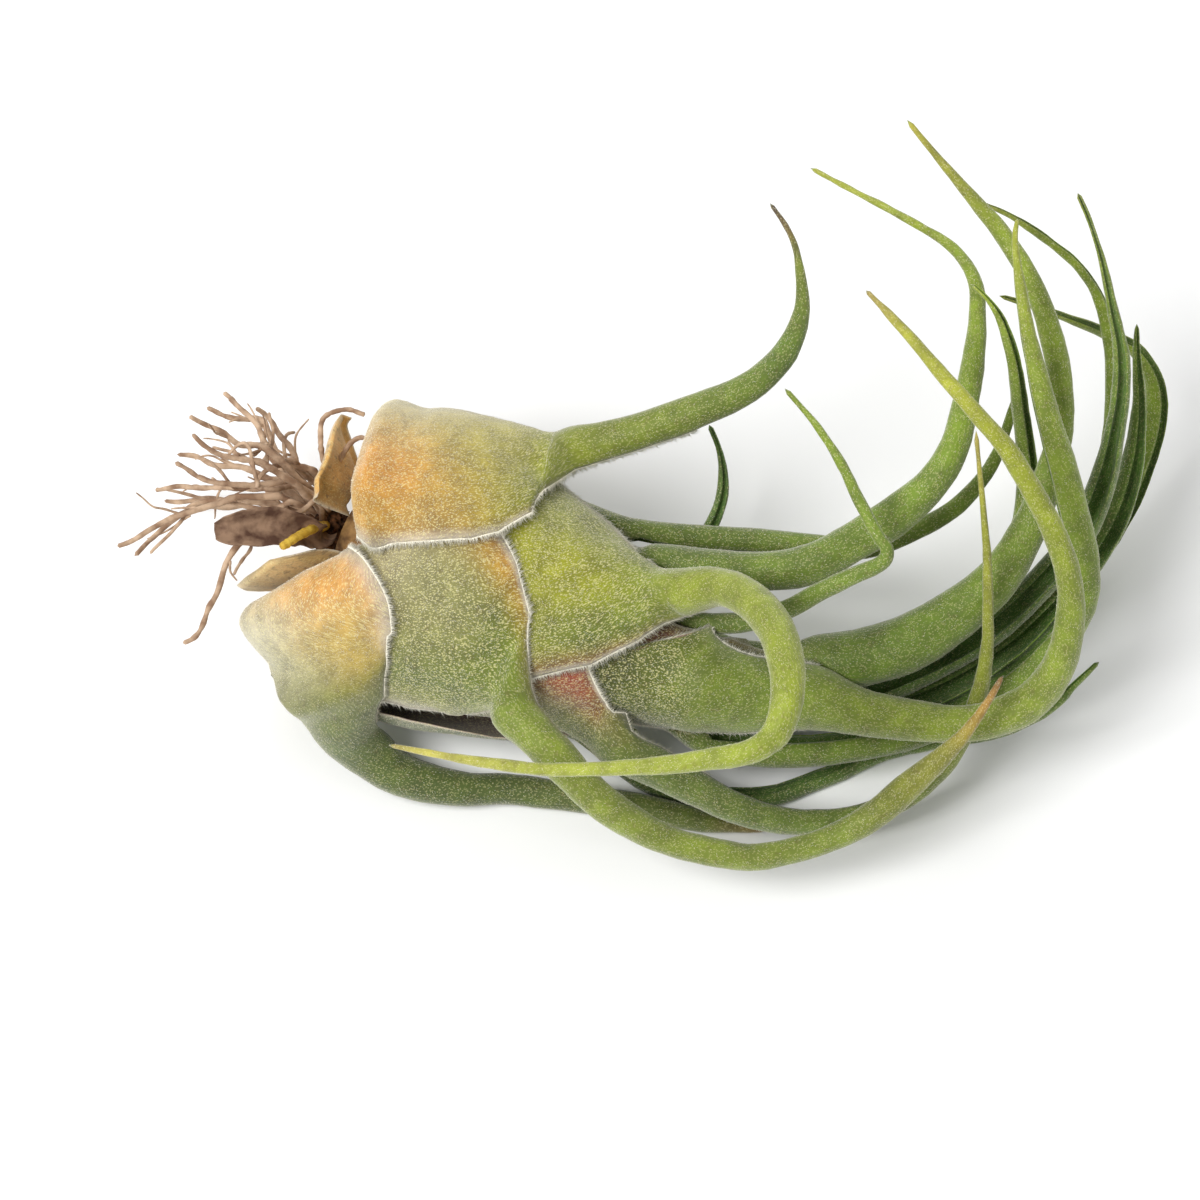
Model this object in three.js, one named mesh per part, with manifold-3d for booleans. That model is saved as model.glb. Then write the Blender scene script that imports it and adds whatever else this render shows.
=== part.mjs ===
// An air plant, Tillandsia seleriana, lying on its side: nested swollen leaf sheaths
// that make a hollow bulb, long channelled blades, a short stem and a tuft of wiry roots.
// Millimetres, +Z up. The plant is modelled about its bulb's axis and then set down, so
// that the origin is under the middle of its outline, on the surface that it lies on.

import * as THREE from 'three';
import Module from 'manifold-3d';
import { mergeVertices } from 'three/addons/utils/BufferGeometryUtils.js';

const wasm = await Module();
wasm.setup();

// The bulb's axis starts at its sunken foot and falls slightly towards the leaf tips.
const bulbFoot = new THREE.Vector3(-37.3, 8.6, 24);
const bulbAxis = new THREE.Vector3(63, -25.7, -3).normalize();

// Azimuths about the axis count from the side that faces up and forward.
const frontHint = new THREE.Vector3(0, -0.5, 0.866);
const bulbFront = frontHint.clone().addScaledVector(bulbAxis, -frontHint.dot(bulbAxis)).normalize();
const bulbSide = new THREE.Vector3().crossVectors(bulbFront, bulbAxis).normalize();

// Outline of the bulb from its foot outwards, as distance along the axis and radius: the
// outermost layer, and the innermost one round the growing tip. Layers lie between the two.
const outerOutline = [
  [3, 6], [2.2, 9], [-0.2, 13.5], [-0.4, 18], [4, 21.7], [12, 23.2],
  [22, 22.4], [33, 19.9], [45, 16.8], [58, 13.2], [72, 9.6],
];
const innerOutline = [
  [20, 4.2], [20.2, 5.6], [20.4, 7.4], [21, 9], [22.8, 10.4], [25, 11.2],
  [29, 11.2], [36, 9.4], [46, 6.8], [58, 4.4], [72, 2.6],
];
const innerLayer = 8;
const shoulderIndex = 3;
const lastOutlineIndex = outerOutline.length - 1;

// The foot's rim is uneven: it hangs back on the lower side and stands forward elsewhere.
// Shift, tilt and saddle are the first terms of its wave round the axis.
const rimShift = -1.2;
const rimTilt = 5.7;
const rimSaddle = 3.9;
const rimAzimuth = -85;
const rimIndex = 2.8;
const rimReach = 2.7;

const sheathThickness = 0.75;
const bladeThickness = 0.95;
const thickestShare = 0.8;

// Degrees that a blade curls to each side of its midrib, and the rows its twist grows over.
const bladeCurl = 150;
const widestCurl = 165;
const leastCurl = 60;
const twistedRows = 5;

// How finely a layer's surface and the place where a curled row meets it are searched for.
const surfacePasses = 20;
const curlSteps = 16;
const curlPasses = 10;
const touchDepth = 0.02;

// Lowest points are pressed flat against the surface that the plant lies on.
const restHeight = 2;
const pressedThickness = 0.62;

const radians = THREE.MathUtils.degToRad;
const degrees = THREE.MathUtils.radToDeg;

function catmullRom(values, at) {
  const last = values.length - 1;
  if (last < 1) {
    return values[0];
  }
  const position = Math.min(Math.max(at, 0), last);
  const i = Math.min(Math.floor(position), last - 1);
  const f = position - i;
  const [a, b, c, d] = [values[Math.max(i - 1, 0)], values[i], values[i + 1], values[Math.min(i + 2, last)]];
  return 0.5 * (2 * b + (c - a) * f + (2 * a - 5 * b + 4 * c - d) * f * f + (3 * b - a - 3 * c + d) * f ** 3);
}

const column = (outline, k) => outline.map((point) => point[k]);
const outlines = {
  outerAlong: column(outerOutline, 0),
  outerRadius: column(outerOutline, 1),
  innerAlong: column(innerOutline, 0),
  innerRadius: column(innerOutline, 1),
};

function rimHeight(index, azimuth) {
  const window = Math.max(0, 1 - ((index - rimIndex) / rimReach) ** 2) ** 2;
  const wave = radians(azimuth - rimAzimuth);
  return -(rimShift + rimTilt * Math.cos(wave) + rimSaddle * Math.cos(2 * wave)) * window;
}

// Distance along the axis and radius of a layer's surface.
function layerPoint(index, azimuth, layer) {
  const share = layer / innerLayer;
  return {
    along: THREE.MathUtils.lerp(
      catmullRom(outlines.outerAlong, index),
      catmullRom(outlines.innerAlong, index),
      share,
    ) + rimHeight(index, azimuth),
    radius: THREE.MathUtils.lerp(
      catmullRom(outlines.outerRadius, index),
      catmullRom(outlines.innerRadius, index),
      share,
    ),
  };
}

function radialAt(azimuth) {
  const angle = radians(azimuth);
  return bulbFront.clone().multiplyScalar(Math.cos(angle)).addScaledVector(bulbSide, Math.sin(angle));
}

function axisPoint(along) {
  return bulbFoot.clone().addScaledVector(bulbAxis, along);
}

function placeOnBulb(along, azimuth, radius) {
  return axisPoint(along).addScaledVector(radialAt(azimuth), radius);
}

// Place of a point about the axis, and the radius of a layer's surface there.
function bulbPlace(point, layer) {
  const offset = point.clone().sub(bulbFoot);
  const along = offset.dot(bulbAxis);
  const across = offset.addScaledVector(bulbAxis, -along);
  const azimuth = degrees(Math.atan2(across.dot(bulbSide), across.dot(bulbFront)));
  return { along, azimuth, radius: across.length(), surface: layerRadius(along, azimuth, layer) };
}

function layerRadius(along, azimuth, layer) {
  let low = shoulderIndex;
  let high = lastOutlineIndex;
  if (along < layerPoint(low, azimuth, layer).along || along > layerPoint(high, azimuth, layer).along) {
    return 0;
  }
  for (let pass = 0; pass < surfacePasses; pass += 1) {
    const middle = 0.5 * (low + high);
    if (layerPoint(middle, azimuth, layer).along < along) {
      low = middle;
    } else {
      high = middle;
    }
  }
  return layerPoint(low, azimuth, layer).radius;
}

// Stations of one leaf: midrib point, outward and sideways directions, curl radius and the
// width to each side. Those of the sheath lie on the bulb, and its last ones rise to the neck.
function leafStations(leaf) {
  const stations = leaf.sheath.map(([index, lower, upper, raise = 0, radius = 0, lead = 0, lowerLead = 0]) => {
    const place = layerPoint(index, leaf.azimuth, leaf.layer);
    const outward = radialAt(leaf.azimuth);
    return {
      index,
      midrib: placeOnBulb(place.along, leaf.azimuth, place.radius + raise),
      outward,
      sideways: new THREE.Vector3().crossVectors(outward, bulbAxis),
      radius: radius || place.radius,
      lower: place.radius * radians(lower),
      upper: place.radius * radians(upper),
      wing: 1,
      lead,
      lowerLead,
    };
  });
  const centres = leaf.blade.map(([x, y, z]) => new THREE.Vector3(x, y, z));
  let outward = leaf.bladeOutward ? new THREE.Vector3(...leaf.bladeOutward) : radialAt(leaf.azimuth);
  centres.forEach((centre, i) => {
    const before = centres[Math.max(i - 1, 0)];
    const after = centres[Math.min(i + 1, centres.length - 1)];
    const heading = after.clone().sub(before).normalize();
    outward = outward.clone().addScaledVector(heading, -outward.dot(heading)).normalize();
    const twist = (leaf.twist ?? 0) * Math.min(1, i / twistedRows);
    const turned = outward.clone().applyAxisAngle(heading, radians(twist));
    const [, , , radius, curl = bladeCurl] = leaf.blade[i];
    stations.push({
      index: rimIndex + rimReach,
      midrib: centre.clone().addScaledVector(turned, radius),
      outward: turned,
      sideways: new THREE.Vector3().crossVectors(turned, heading),
      radius,
      lower: radius * radians(curl),
      upper: radius * radians(curl),
      wing: 0,
      lead: 0,
      lowerLead: 0,
    });
  });
  return stations;
}

function arcPoint(station, angle) {
  return station.midrib.clone()
    .addScaledVector(station.outward, -station.radius * (1 - Math.cos(angle)))
    .addScaledVector(station.sideways, station.radius * Math.sin(angle));
}

// One side of a row: the angle where the curled midrib part meets the leaf's own layer of
// the bulb, and the wing that lies on that layer from there to the margin.
function sideOfRow(station, width, side, layer) {
  const wanted = Math.min(width / station.radius, radians(widestCurl));
  const inside = (angle) => {
    const place = bulbPlace(arcPoint(station, side * angle), layer);
    return place.radius < place.surface - touchDepth;
  };
  for (let i = 1; i <= curlSteps; i += 1) {
    if (inside((wanted * i) / curlSteps)) {
      let low = (wanted * (i - 1)) / curlSteps;
      let high = (wanted * i) / curlSteps;
      for (let pass = 0; pass < curlPasses; pass += 1) {
        const middle = 0.5 * (low + high);
        if (inside(middle)) {
          high = middle;
        } else {
          low = middle;
        }
      }
      const least = station.wing < 0.5 ? Math.min(wanted, radians(leastCurl)) : 0;
      return { angle: Math.max(low, least), wing: (width - low * station.radius) * station.wing };
    }
  }
  return { angle: wanted, wing: 0 };
}

function rowPoint(station, side, part, share, layer) {
  const length = part.angle * station.radius + part.wing;
  const reach = share * length;
  const angle = reach / station.radius;
  if (angle <= part.angle + 1e-6) {
    return arcPoint(station, side * angle);
  }
  const foot = bulbPlace(arcPoint(station, side * part.angle), layer);
  const beyond = reach - part.angle * station.radius;
  const azimuth = foot.azimuth + (side * degrees(beyond)) / foot.radius;
  const along = foot.along + (side > 0 ? station.lead : station.lowerLead) * share * share;
  const surface = layerRadius(along, azimuth, layer);
  return placeOnBulb(along, azimuth, surface || foot.radius);
}

// A point of a leaf's row moved along the axis, as the foot's rim is uneven beside the midrib.
function followRim(point, station, leaf) {
  const { azimuth } = bulbPlace(point, leaf.layer);
  const shift = rimHeight(station.index, azimuth) - rimHeight(station.index, leaf.azimuth);
  return point.addScaledVector(bulbAxis, shift);
}

// Outer surface of a leaf as rows of points from margin to margin.
function leafRows(leaf) {
  const stations = leafStations(leaf);
  const onFoot = (k) => leaf.sheath[k]?.[0] < shoulderIndex + 1;
  return stations.map((station, k) => {
    const row = [];
    for (let j = 0; j <= leaf.across; j += 1) {
      const share = (2 * j) / leaf.across - 1;
      if (onFoot(k)) {
        const [index, lower, upper] = leaf.sheath[k];
        const azimuth = leaf.azimuth + share * (share < 0 ? lower : upper);
        const place = layerPoint(index, azimuth, leaf.rowLayers?.[k] ?? leaf.layer);
        const along = place.along + (share > 0 ? station.lead : station.lowerLead) * share * share;
        row.push(placeOnBulb(along, azimuth, place.radius));
      } else {
        const side = share < 0 ? -1 : 1;
        const part = sideOfRow(station, side < 0 ? station.lower : station.upper, side, leaf.layer);
        row.push(followRim(rowPoint(station, side, part, Math.abs(share), leaf.layer), station, leaf));
      }
    }
    const onSheath = k < leaf.sheath.length;
    const thickness = onSheath ? sheathThickness : Math.min(bladeThickness, thickestShare * station.radius);
    return { row, thickness };
  });
}

// Direction of a line of points at one of them. At its ends it follows the line's bend.
function tangent(points, k) {
  const last = points.length - 1;
  if (k > 0 && k < last) {
    return points[k + 1].clone().sub(points[k - 1]);
  }
  const inwards = k === 0 ? 1 : -1;
  return points[k].clone().multiplyScalar(-3)
    .addScaledVector(points[k + inwards], 4)
    .addScaledVector(points[k + 2 * inwards], -1)
    .multiplyScalar(inwards);
}

function rowNormal(rows, i, j) {
  const lengthwise = rows.map(({ row }) => row[j]);
  return tangent(lengthwise, i).cross(tangent(rows[i].row, j)).normalize();
}

// A leaf's rows and the same rows moved inwards by its thickness, closed all round. Grown by
// a clearance it is the space that the leaves within it have to keep out of.
function closedShell(rows, grown = 0) {
  const across = rows[0].row.length;
  const positions = [];
  const addMoved = (inward, lowest) => rows.forEach(({ row, thickness }, i) => row.forEach((point, j) => {
    const moved = point.clone().addScaledVector(rowNormal(rows, i, j), inward ? -thickness - grown : grown);
    positions.push(moved.x, moved.y, Math.max(moved.z, lowest));
  }));
  addMoved(false, restHeight - grown);
  addMoved(true, restHeight + pressedThickness + grown);
  const inside = rows.length * across;
  const faces = [];
  const quad = (a, b, c, d) => faces.push(a, c, b, a, d, c);
  for (let i = 0; i < rows.length - 1; i += 1) {
    for (let j = 0; j < across - 1; j += 1) {
      const a = i * across + j;
      quad(a, a + 1, a + across + 1, a + across);
      quad(inside + a, inside + a + across, inside + a + across + 1, inside + a + 1);
    }
    const start = i * across;
    const end = start + across - 1;
    quad(start, start + across, inside + start + across, inside + start);
    quad(end, inside + end, inside + end + across, end + across);
  }
  const lastRow = (rows.length - 1) * across;
  for (let j = 0; j < across - 1; j += 1) {
    quad(j, inside + j, inside + j + 1, j + 1);
    quad(lastRow + j, lastRow + j + 1, inside + lastRow + j + 1, inside + lastRow + j);
  }
  const geometry = new THREE.BufferGeometry();
  geometry.setAttribute('position', new THREE.Float32BufferAttribute(positions, 3));
  geometry.setIndex(faces);
  return geometry;
}

// Leaves from the outermost inwards. A sheath row is the place along the bulb's outline, the
// degrees that the sheath wraps below and above its midrib, towards the neck how far the
// midrib has risen off the bulb and the radius it is curled to, and how far its upper and its
// lower margin run ahead. A blade row is the middle of the blade (x, y, z), the radius it is
// curled to and, near the neck, the degrees of curl.
const leaves = [
  {
    name: 'leaf_upper_left', layer: 0, azimuth: 76, across: 12, colour: 0x8f9a45,
    rowLayers: [-0.8, -1.2, -1.4, -1.4, -1.2],
    sheath: [
      [0.3, 66, 76], [1.3, 72, 80, 0, 0, 0, 1], [2.1, 74, 80, 0, 0, 0, 2.5], [2.8, 75, 80, 0, 0, 0, 3],
      [3.4, 76, 80, 0, 0, 0, 3], [4.1, 77, 78, 0, 0, 0, 2], [5, 76, 70], [5.5, 62, 58, 0.8, 17],
      [5.9, 48, 44, 2, 9], [6.2, 36, 34, 3, 5.6],
    ],
    blade: [
      [-3.4, 15, 37, 3.5, 140], [3.6, 16, 39.2, 2.72], [12.8, 17.9, 42, 2.64], [21.1, 21, 44, 2.28],
      [26.5, 25.8, 46, 1.85], [28.9, 32.1, 48, 1.14], [28.5, 38.6, 50, 0.57], [27.2, 43.2, 51, 0.4],
      [24.5, 47.6, 52, 0.32],
    ],
  },
  {
    name: 'leaf_lower_left', layer: 0, azimuth: -84, across: 12, colour: 0xa9a27a,
    bladeOutward: [-0.75, -0.6, 0.2],
    sheath: [
      [0.3, 62, 74], [1.3, 64, 78, 0, 0, 1], [2.1, 66, 80, 0, 0, 2.5], [2.8, 66, 78, 0, 0, 4],
      [3.4, 64, 69, 0, 0, 6.8], [3.8, 50, 54, 0.5, 17, 10.5],
    ],
    blade: [
      [-38, -13.6, 18.4, 8.2, 92], [-37.6, -15.2, 16, 6, 108], [-36.2, -17.6, 12, 4.5, 130],
      [-33.1, -19.1, 8.4, 3.77], [-28.5, -21.6, 6.4, 3.2], [-20.5, -23, 5, 2.62],
      [-13.7, -22.6, 4.2, 2.33], [-5.8, -23.5, 3.8, 2.19], [5.8, -25.4, 3.8, 2.04], [15.1, -27.5, 3.4, 1.6],
      [24.7, -28.4, 2.7, 0.5],
    ],
  },
  {
    name: 'leaf_front', layer: 1, azimuth: -38, across: 10, colour: 0x7e8f3c,
    sheath: [
      [0.3, 58, 70], [1.3, 62, 76], [2.1, 60, 78], [2.8, 56, 80], [3.4, 50, 80], [4.1, 42, 80],
      [5, 36, 76, 0, 0, 1], [6, 30, 64, 0, 0, 1], [6.5, 28, 54, 0.7, 15], [6.8, 24, 34, 1.6, 8.5],
    ],
    blade: [
      [-12, -22.2, 27.4, 3.7, 130], [-9.2, -25.6, 26.8, 3.02], [-5.9, -28.8, 25.5, 2.88],
      [-2.5, -31.9, 23.5, 2.6], [1, -34.6, 22, 2.53], [5.6, -36.3, 19, 2.32], [10.4, -37.8, 17, 2.12],
      [16.5, -38.9, 16, 2.05], [22.2, -39.1, 15, 1.91], [29, -37.5, 15, 1.84], [34.7, -35.6, 16, 1.98],
      [39.3, -33.5, 18, 2.05], [44.1, -29.9, 20, 1.98], [49, -27, 24, 1.34], [52.2, -24.5, 27, 0.84],
      [54.2, -22.2, 29, 0.56], [56.5, -19.1, 32, 0.32],
    ],
  },
  {
    name: 'leaf_back_short', layer: 1, azimuth: 148, across: 8, colour: 0x6f8436,
    sheath: [
      [0.3, 38, 48], [1.3, 40, 56], [2.1, 42, 62], [2.8, 42, 66], [3.4, 42, 68], [4.1, 42, 70],
      [5, 42, 70], [6, 38, 64], [6.8, 24, 34, 0.5, 8],
    ],
    blade: [
      [-0.5, 7, 14.5, 2.2, 110], [5.9, 7.2, 14.5, 1.4], [13.2, 9.6, 17, 1.17], [16.6, 13.8, 19, 1.03],
      [18.1, 18, 22, 0.88], [17.6, 22, 25, 0.51], [16, 25, 28, 0.32],
    ],
  },
  {
    name: 'leaf_looping', layer: 2, azimuth: 30, across: 10, colour: 0x8fa53a,
    sheath: [
      [0.3, 58, 60], [1.3, 62, 64], [2.1, 62, 64], [2.8, 62, 64], [3.4, 63, 64], [4.1, 64, 64],
      [5, 66, 64], [6, 67, 60], [7, 64, 48, 0.3, 14], [7.6, 46, 36, 1.2, 10], [8, 26, 26, 2.2, 7],
    ],
    blade: [
      [11.2, -8.8, 36, 4.2, 125], [16.4, -10, 41, 2.72], [20.7, -14.4, 45, 2.69], [23.9, -20.6, 48, 2.66],
      [25.3, -27.5, 49.5, 2.5], [25.2, -32.6, 49, 2.23], [23.6, -36.6, 47, 1.96], [20, -38.7, 46, 1.69],
      [15.1, -39.2, 45, 1.49], [8.7, -39.1, 43, 1.29], [0, -38.1, 40, 1.02], [-8.1, -36.6, 37, 0.89],
      [-16.5, -34.4, 35, 0.76], [-23.5, -32, 33, 0.48], [-29.4, -30.2, 32, 0.32],
    ],
  },
  {
    name: 'leaf_under_long', layer: 2, azimuth: -132, across: 8, colour: 0x8c9b35,
    sheath: [
      [0.3, 44, 42], [1.3, 48, 44], [2.1, 50, 44], [2.8, 50, 44], [3.4, 50, 44], [4.1, 48, 42],
      [5, 46, 40], [6, 40, 36], [7, 28, 26], [7.5, 18, 18, 0.4, 7],
    ],
    blade: [
      [5.8, -20.1, 4, 2.1, 110], [14.6, -23.1, 3.2, 1.75], [24.1, -23.4, 3.1, 1.61],
      [33.7, -19.7, 3, 1.46], [41.8, -16.1, 3.5, 1.39], [49.7, -15.3, 5.6, 1.31], [58.2, -15.5, 9, 1.16],
      [65.1, -14, 13, 0.87], [68.7, -11.7, 16, 0.51], [71.9, -9.7, 19, 0.32],
    ],
  },
  {
    name: 'leaf_front_low', layer: 3, azimuth: -79, across: 10, colour: 0x7c7a3a,
    sheath: [
      [0.3, 44, 66], [1.3, 46, 70], [2.1, 46, 70], [2.8, 46, 72], [3.4, 46, 72], [4.1, 46, 72],
      [5, 46, 72], [6, 44, 72], [7, 42, 70], [7.5, 38, 60, 0.8, 11], [7.9, 30, 38, 2.4, 7],
    ],
    blade: [
      [2.8, -23.3, 19, 3.6, 125], [7.9, -25.1, 16, 3], [14.3, -27.4, 13, 2.58], [20.8, -29.2, 10, 2.3],
      [27.6, -29.8, 8, 2.01], [36.1, -28.8, 7, 1.88], [44, -25.9, 8, 1.73], [49.3, -22.3, 11, 1.73],
      [52.5, -18.7, 15, 1.44], [54.4, -15, 19.5, 1.29], [55.1, -11.2, 26.5, 0.93], [54.9, -7.3, 32.5, 0.78],
      [54.5, -3, 38, 0.64], [53.8, 2.1, 43, 0.42], [52.6, 10.2, 50, 0.32],
    ],
  },
  {
    name: 'leaf_upper_thin', layer: 3, azimuth: 97, across: 6, colour: 0x86a040, twist: 30,
    sheath: [
      [0.3, 24, 24], [1.3, 26, 26], [2.1, 27, 27], [2.8, 27, 27], [3.4, 27, 27], [4.1, 27, 27],
      [5, 26, 26], [6, 24, 24], [6.9, 18, 18, 0.6, 5],
    ],
    blade: [
      [5.8, 7, 27, 2.1, 120], [14.5, 6.9, 26, 1.88], [23.1, 6.4, 26, 1.81], [31.8, 5.4, 26, 1.73],
      [38.3, 5.2, 26, 1.59], [44.5, 7, 27, 1.44], [50.8, 9.8, 29, 1.3], [55.1, 13.7, 31, 1.08],
      [57.5, 17.2, 33, 0.87], [59.1, 21.1, 36, 0.65], [60.3, 25.4, 38, 0.32],
    ],
  },
  {
    name: 'leaf_back_outer', layer: 3, azimuth: 175, across: 6, colour: 0x7d9440, twist: 40,
    sheath: [
      [0.3, 40, 36], [1.3, 42, 38], [2.1, 42, 38], [2.8, 42, 38], [3.4, 42, 38], [4.1, 42, 38],
      [5, 40, 38], [6, 38, 36], [7, 28, 28, 0.3, 9], [7.5, 18, 18, 1.2, 5],
    ],
    blade: [
      [13, -1.5, 7.6, 2.7, 120], [28, -5, 5, 2.3], [39.8, -8.1, 4.2, 2.21], [51.9, -2.6, 3.8, 2.22],
      [62.6, 4.1, 3.9, 2.24], [71.7, 13, 6.5, 2.24], [78, 20.7, 11, 2.09], [81.4, 27.3, 16, 1.94],
      [82.8, 32.5, 20, 1.78], [82.1, 36, 24, 1.41], [79.1, 38.3, 28, 1.1], [74.2, 38.8, 31.6, 0.88],
      [69.5, 37.9, 36, 0.72], [63.9, 37.4, 40, 0.5], [57.8, 37.6, 43, 0.32],
    ],
  },
  {
    name: 'leaf_long_front', layer: 4, azimuth: -8, across: 10, colour: 0x6f8a35,
    sheath: [
      [0.3, 60, 58], [1.3, 64, 60], [2.1, 66, 60], [2.8, 68, 60], [3.4, 70, 60], [4.1, 71, 60],
      [5, 72, 60], [6, 74, 60], [7, 76, 60, 0, 0, 1], [8, 78, 62, 0, 0, 3], [8.6, 82, 66, 0.4, 0, 5],
    ],
    blade: [
      [14.2, -15.9, 24, 7.11, 90], [22.8, -16.9, 23, 5.98, 82], [30.2, -17.1, 22, 4.85, 86],
      [37.2, -19, 21, 3.42, 115], [44.5, -19.8, 20, 2.99], [52, -20.4, 20, 2.64], [58.3, -19.7, 22, 2.77],
      [62.7, -18.2, 26, 2.62], [65.1, -15.9, 32, 2.32], [65.8, -12.3, 38, 2.03], [65.1, -8.9, 43, 1.81],
      [62.8, -5, 48, 1.66], [59.7, -0.9, 52, 1.52], [56.2, 3.1, 56, 1.38], [52.3, 6.4, 59, 1.17],
      [47.5, 11, 62, 1.03], [42.6, 15.9, 65, 0.76], [39.2, 18.9, 67, 0.55], [36.6, 21.5, 68, 0.32],
    ],
  },
  {
    name: 'leaf_back_hooked', layer: 4, azimuth: 142, across: 6, colour: 0x6f9a38, twist: 40,
    sheath: [
      [0.3, 40, 40], [1.3, 42, 42], [2.1, 42, 42], [2.8, 42, 42], [3.4, 42, 42], [4.1, 42, 42],
      [5, 42, 42], [6, 40, 40], [7, 34, 34], [7.7, 22, 22, 0.3, 5],
    ],
    blade: [
      [16, -3.5, 12.8, 2.4, 120], [24, -4.2, 10.8, 2.1], [34, -3.8, 9.8, 1.9], [46, -2.9, 10, 1.8],
      [58.3, -0.4, 11.6, 1.75], [67.1, 7.1, 15.6, 1.75], [72.3, 14.1, 20, 1.61], [74.4, 20.6, 25, 1.46],
      [75.2, 27.9, 30, 1.31], [74.8, 34.4, 33.6, 1.1], [73, 40.2, 38, 0.88], [69.9, 43.1, 42, 0.73],
      [66.1, 44.9, 45, 0.65], [62.2, 46, 48, 0.58], [58.4, 46.5, 51, 0.43], [54.9, 46.8, 53, 0.32],
    ],
  },
  {
    name: 'leaf_right_front', layer: 4, azimuth: -116, across: 6, colour: 0x6f9436,
    sheath: [
      [0.3, 26, 26], [1.3, 28, 28], [2.1, 28, 28], [2.8, 28, 28], [3.4, 28, 28], [4.1, 28, 28],
      [5, 28, 28], [6, 28, 28], [7, 28, 28], [8, 26, 26], [8.6, 20, 20, 0.3, 4],
    ],
    blade: [
      [16, -18.8, 12, 2.6, 125], [26, -20, 10.8, 2.4], [37.6, -18.5, 10, 2.32], [47.9, -15.9, 11, 2.47],
      [57.9, -11.6, 14, 2.46], [64.8, -8.3, 20, 2.59], [68.6, -4.9, 27, 2.36], [68.7, -0.9, 33, 2.35],
      [66.9, 3.7, 39, 2.26], [64.9, 8.9, 44, 2.12], [62.7, 14.1, 49, 1.76], [61, 19.5, 53, 1.4],
      [59.6, 24, 57, 1.05], [58.5, 29.7, 61, 0.7], [58.1, 33.4, 63, 0.42], [58.5, 36.4, 64, 0.32],
    ],
  },
  {
    name: 'leaf_upper_arched', layer: 5, azimuth: 75, across: 6, colour: 0x7e9a3c, twist: 30,
    sheath: [
      [0.3, 38, 38], [1.3, 40, 40], [2.1, 41, 41], [2.8, 42, 41], [3.4, 42, 41], [4.1, 42, 41],
      [5, 42, 40], [6, 40, 38], [7, 34, 34, 0.4], [7.6, 26, 26, 1.8, 5.5],
    ],
    blade: [
      [8, 0.2, 29, 3.4, 115], [14.3, -1, 30.5, 3.1], [21.3, -2.4, 32.2, 2.84], [29.1, -2.5, 34, 2.91],
      [35.7, 0.1, 36, 2.83], [41.9, 3.5, 38, 2.83], [47, 7, 41, 2.4], [50.2, 11.4, 44, 2.12],
      [52, 18.2, 46, 1.84], [53.3, 24.9, 48, 1.56], [53.9, 31.4, 49, 1.21], [53.4, 36.2, 50, 1],
      [50.7, 41.1, 50, 0.79], [46.8, 44.4, 50, 0.65], [41.2, 48.3, 50, 0.51], [36.3, 52.2, 49, 0.44],
      [30.7, 56.7, 48, 0.32],
    ],
  },
  {
    name: 'leaf_tallest', layer: 5, azimuth: -12, across: 6, colour: 0x6b8f35, twist: 50,
    sheath: [
      [0.3, 34, 34], [1.3, 36, 36], [2.1, 36, 36], [2.8, 36, 36], [3.4, 37, 37], [4.1, 38, 37],
      [5, 38, 38], [6, 40, 38], [7, 44, 40], [8, 50, 44], [8.7, 60, 54, 0, 4.8],
    ],
    blade: [
      [22, -11.8, 19.6, 4, 96], [28.6, -10.6, 19.8, 4.3, 104], [35.7, -10.9, 21.7, 4.2, 112],
      [43.6, -9.5, 23.6, 4.15, 120], [50.8, -5.7, 25.6, 3.72, 130], [56.9, -1.6, 29, 3.14], [61.1, 4, 33, 2.57],
      [63.9, 10, 37, 2.14], [65.6, 15.9, 41, 1.85], [65.5, 21.7, 45, 1.78], [64, 27.6, 49, 1.71],
      [61.3, 33.5, 53, 1.42], [56.9, 39, 57, 1.28], [52.4, 42.5, 61, 0.92], [48, 45.7, 65, 0.56],
      [43.1, 49, 70, 0.32],
    ],
  },
  {
    name: 'leaf_right_low', layer: 5, azimuth: -178, across: 6, colour: 0x55802f, twist: 30,
    sheath: [
      [0.3, 36, 36], [1.3, 38, 38], [2.1, 38, 38], [2.8, 38, 38], [3.4, 38, 38], [4.1, 38, 38],
      [5, 38, 38], [6, 38, 38], [7, 34, 34], [8, 26, 26, 0.2, 5],
    ],
    blade: [
      [16, -9, 11, 2.5, 120], [26, -10.6, 7.6, 2.3], [37.8, -12.6, 8.6, 2.33], [48.1, -9.6, 9.6, 2.33],
      [58.4, -4.1, 12, 2.33], [65.6, 0.9, 17, 2.33], [71.3, 6.1, 21, 2.18], [75.3, 11.9, 25, 2.04],
      [77.5, 18.3, 29, 1.67], [78.2, 24.6, 34, 1.02], [77.6, 29.1, 39, 0.65], [77.4, 32.7, 43, 0.32],
    ],
  },
  {
    name: 'leaf_kinked', layer: 6, azimuth: 48, across: 6, colour: 0x95a83a, twist: 60,
    sheath: [
      [0.3, 30, 30], [1.3, 32, 32], [2.1, 32, 32], [2.8, 33, 33], [3.4, 34, 34], [4.1, 34, 34],
      [5, 34, 34], [6, 34, 34], [7, 30, 30], [8, 22, 22, 0.1, 4],
    ],
    blade: [
      [11, -7.6, 27, 1.7, 120], [19.8, -9.6, 30.2, 1.5], [26.3, -9.6, 34, 1.41], [31.1, -8.9, 38, 1.33],
      [35.6, -8.1, 41, 1.26], [39.2, -7.6, 43.5, 1.11], [39.9, -6.4, 45, 0.97], [38.5, -4.3, 46, 0.9],
      [36, 0.8, 47, 0.84], [33.3, 6.9, 48, 0.7], [29.9, 12.3, 49, 0.49], [26, 17.1, 50, 0.32],
    ],
  },
  {
    name: 'leaf_right_tall', layer: 6, azimuth: -160, across: 6, colour: 0x4f8534, twist: 20,
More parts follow.
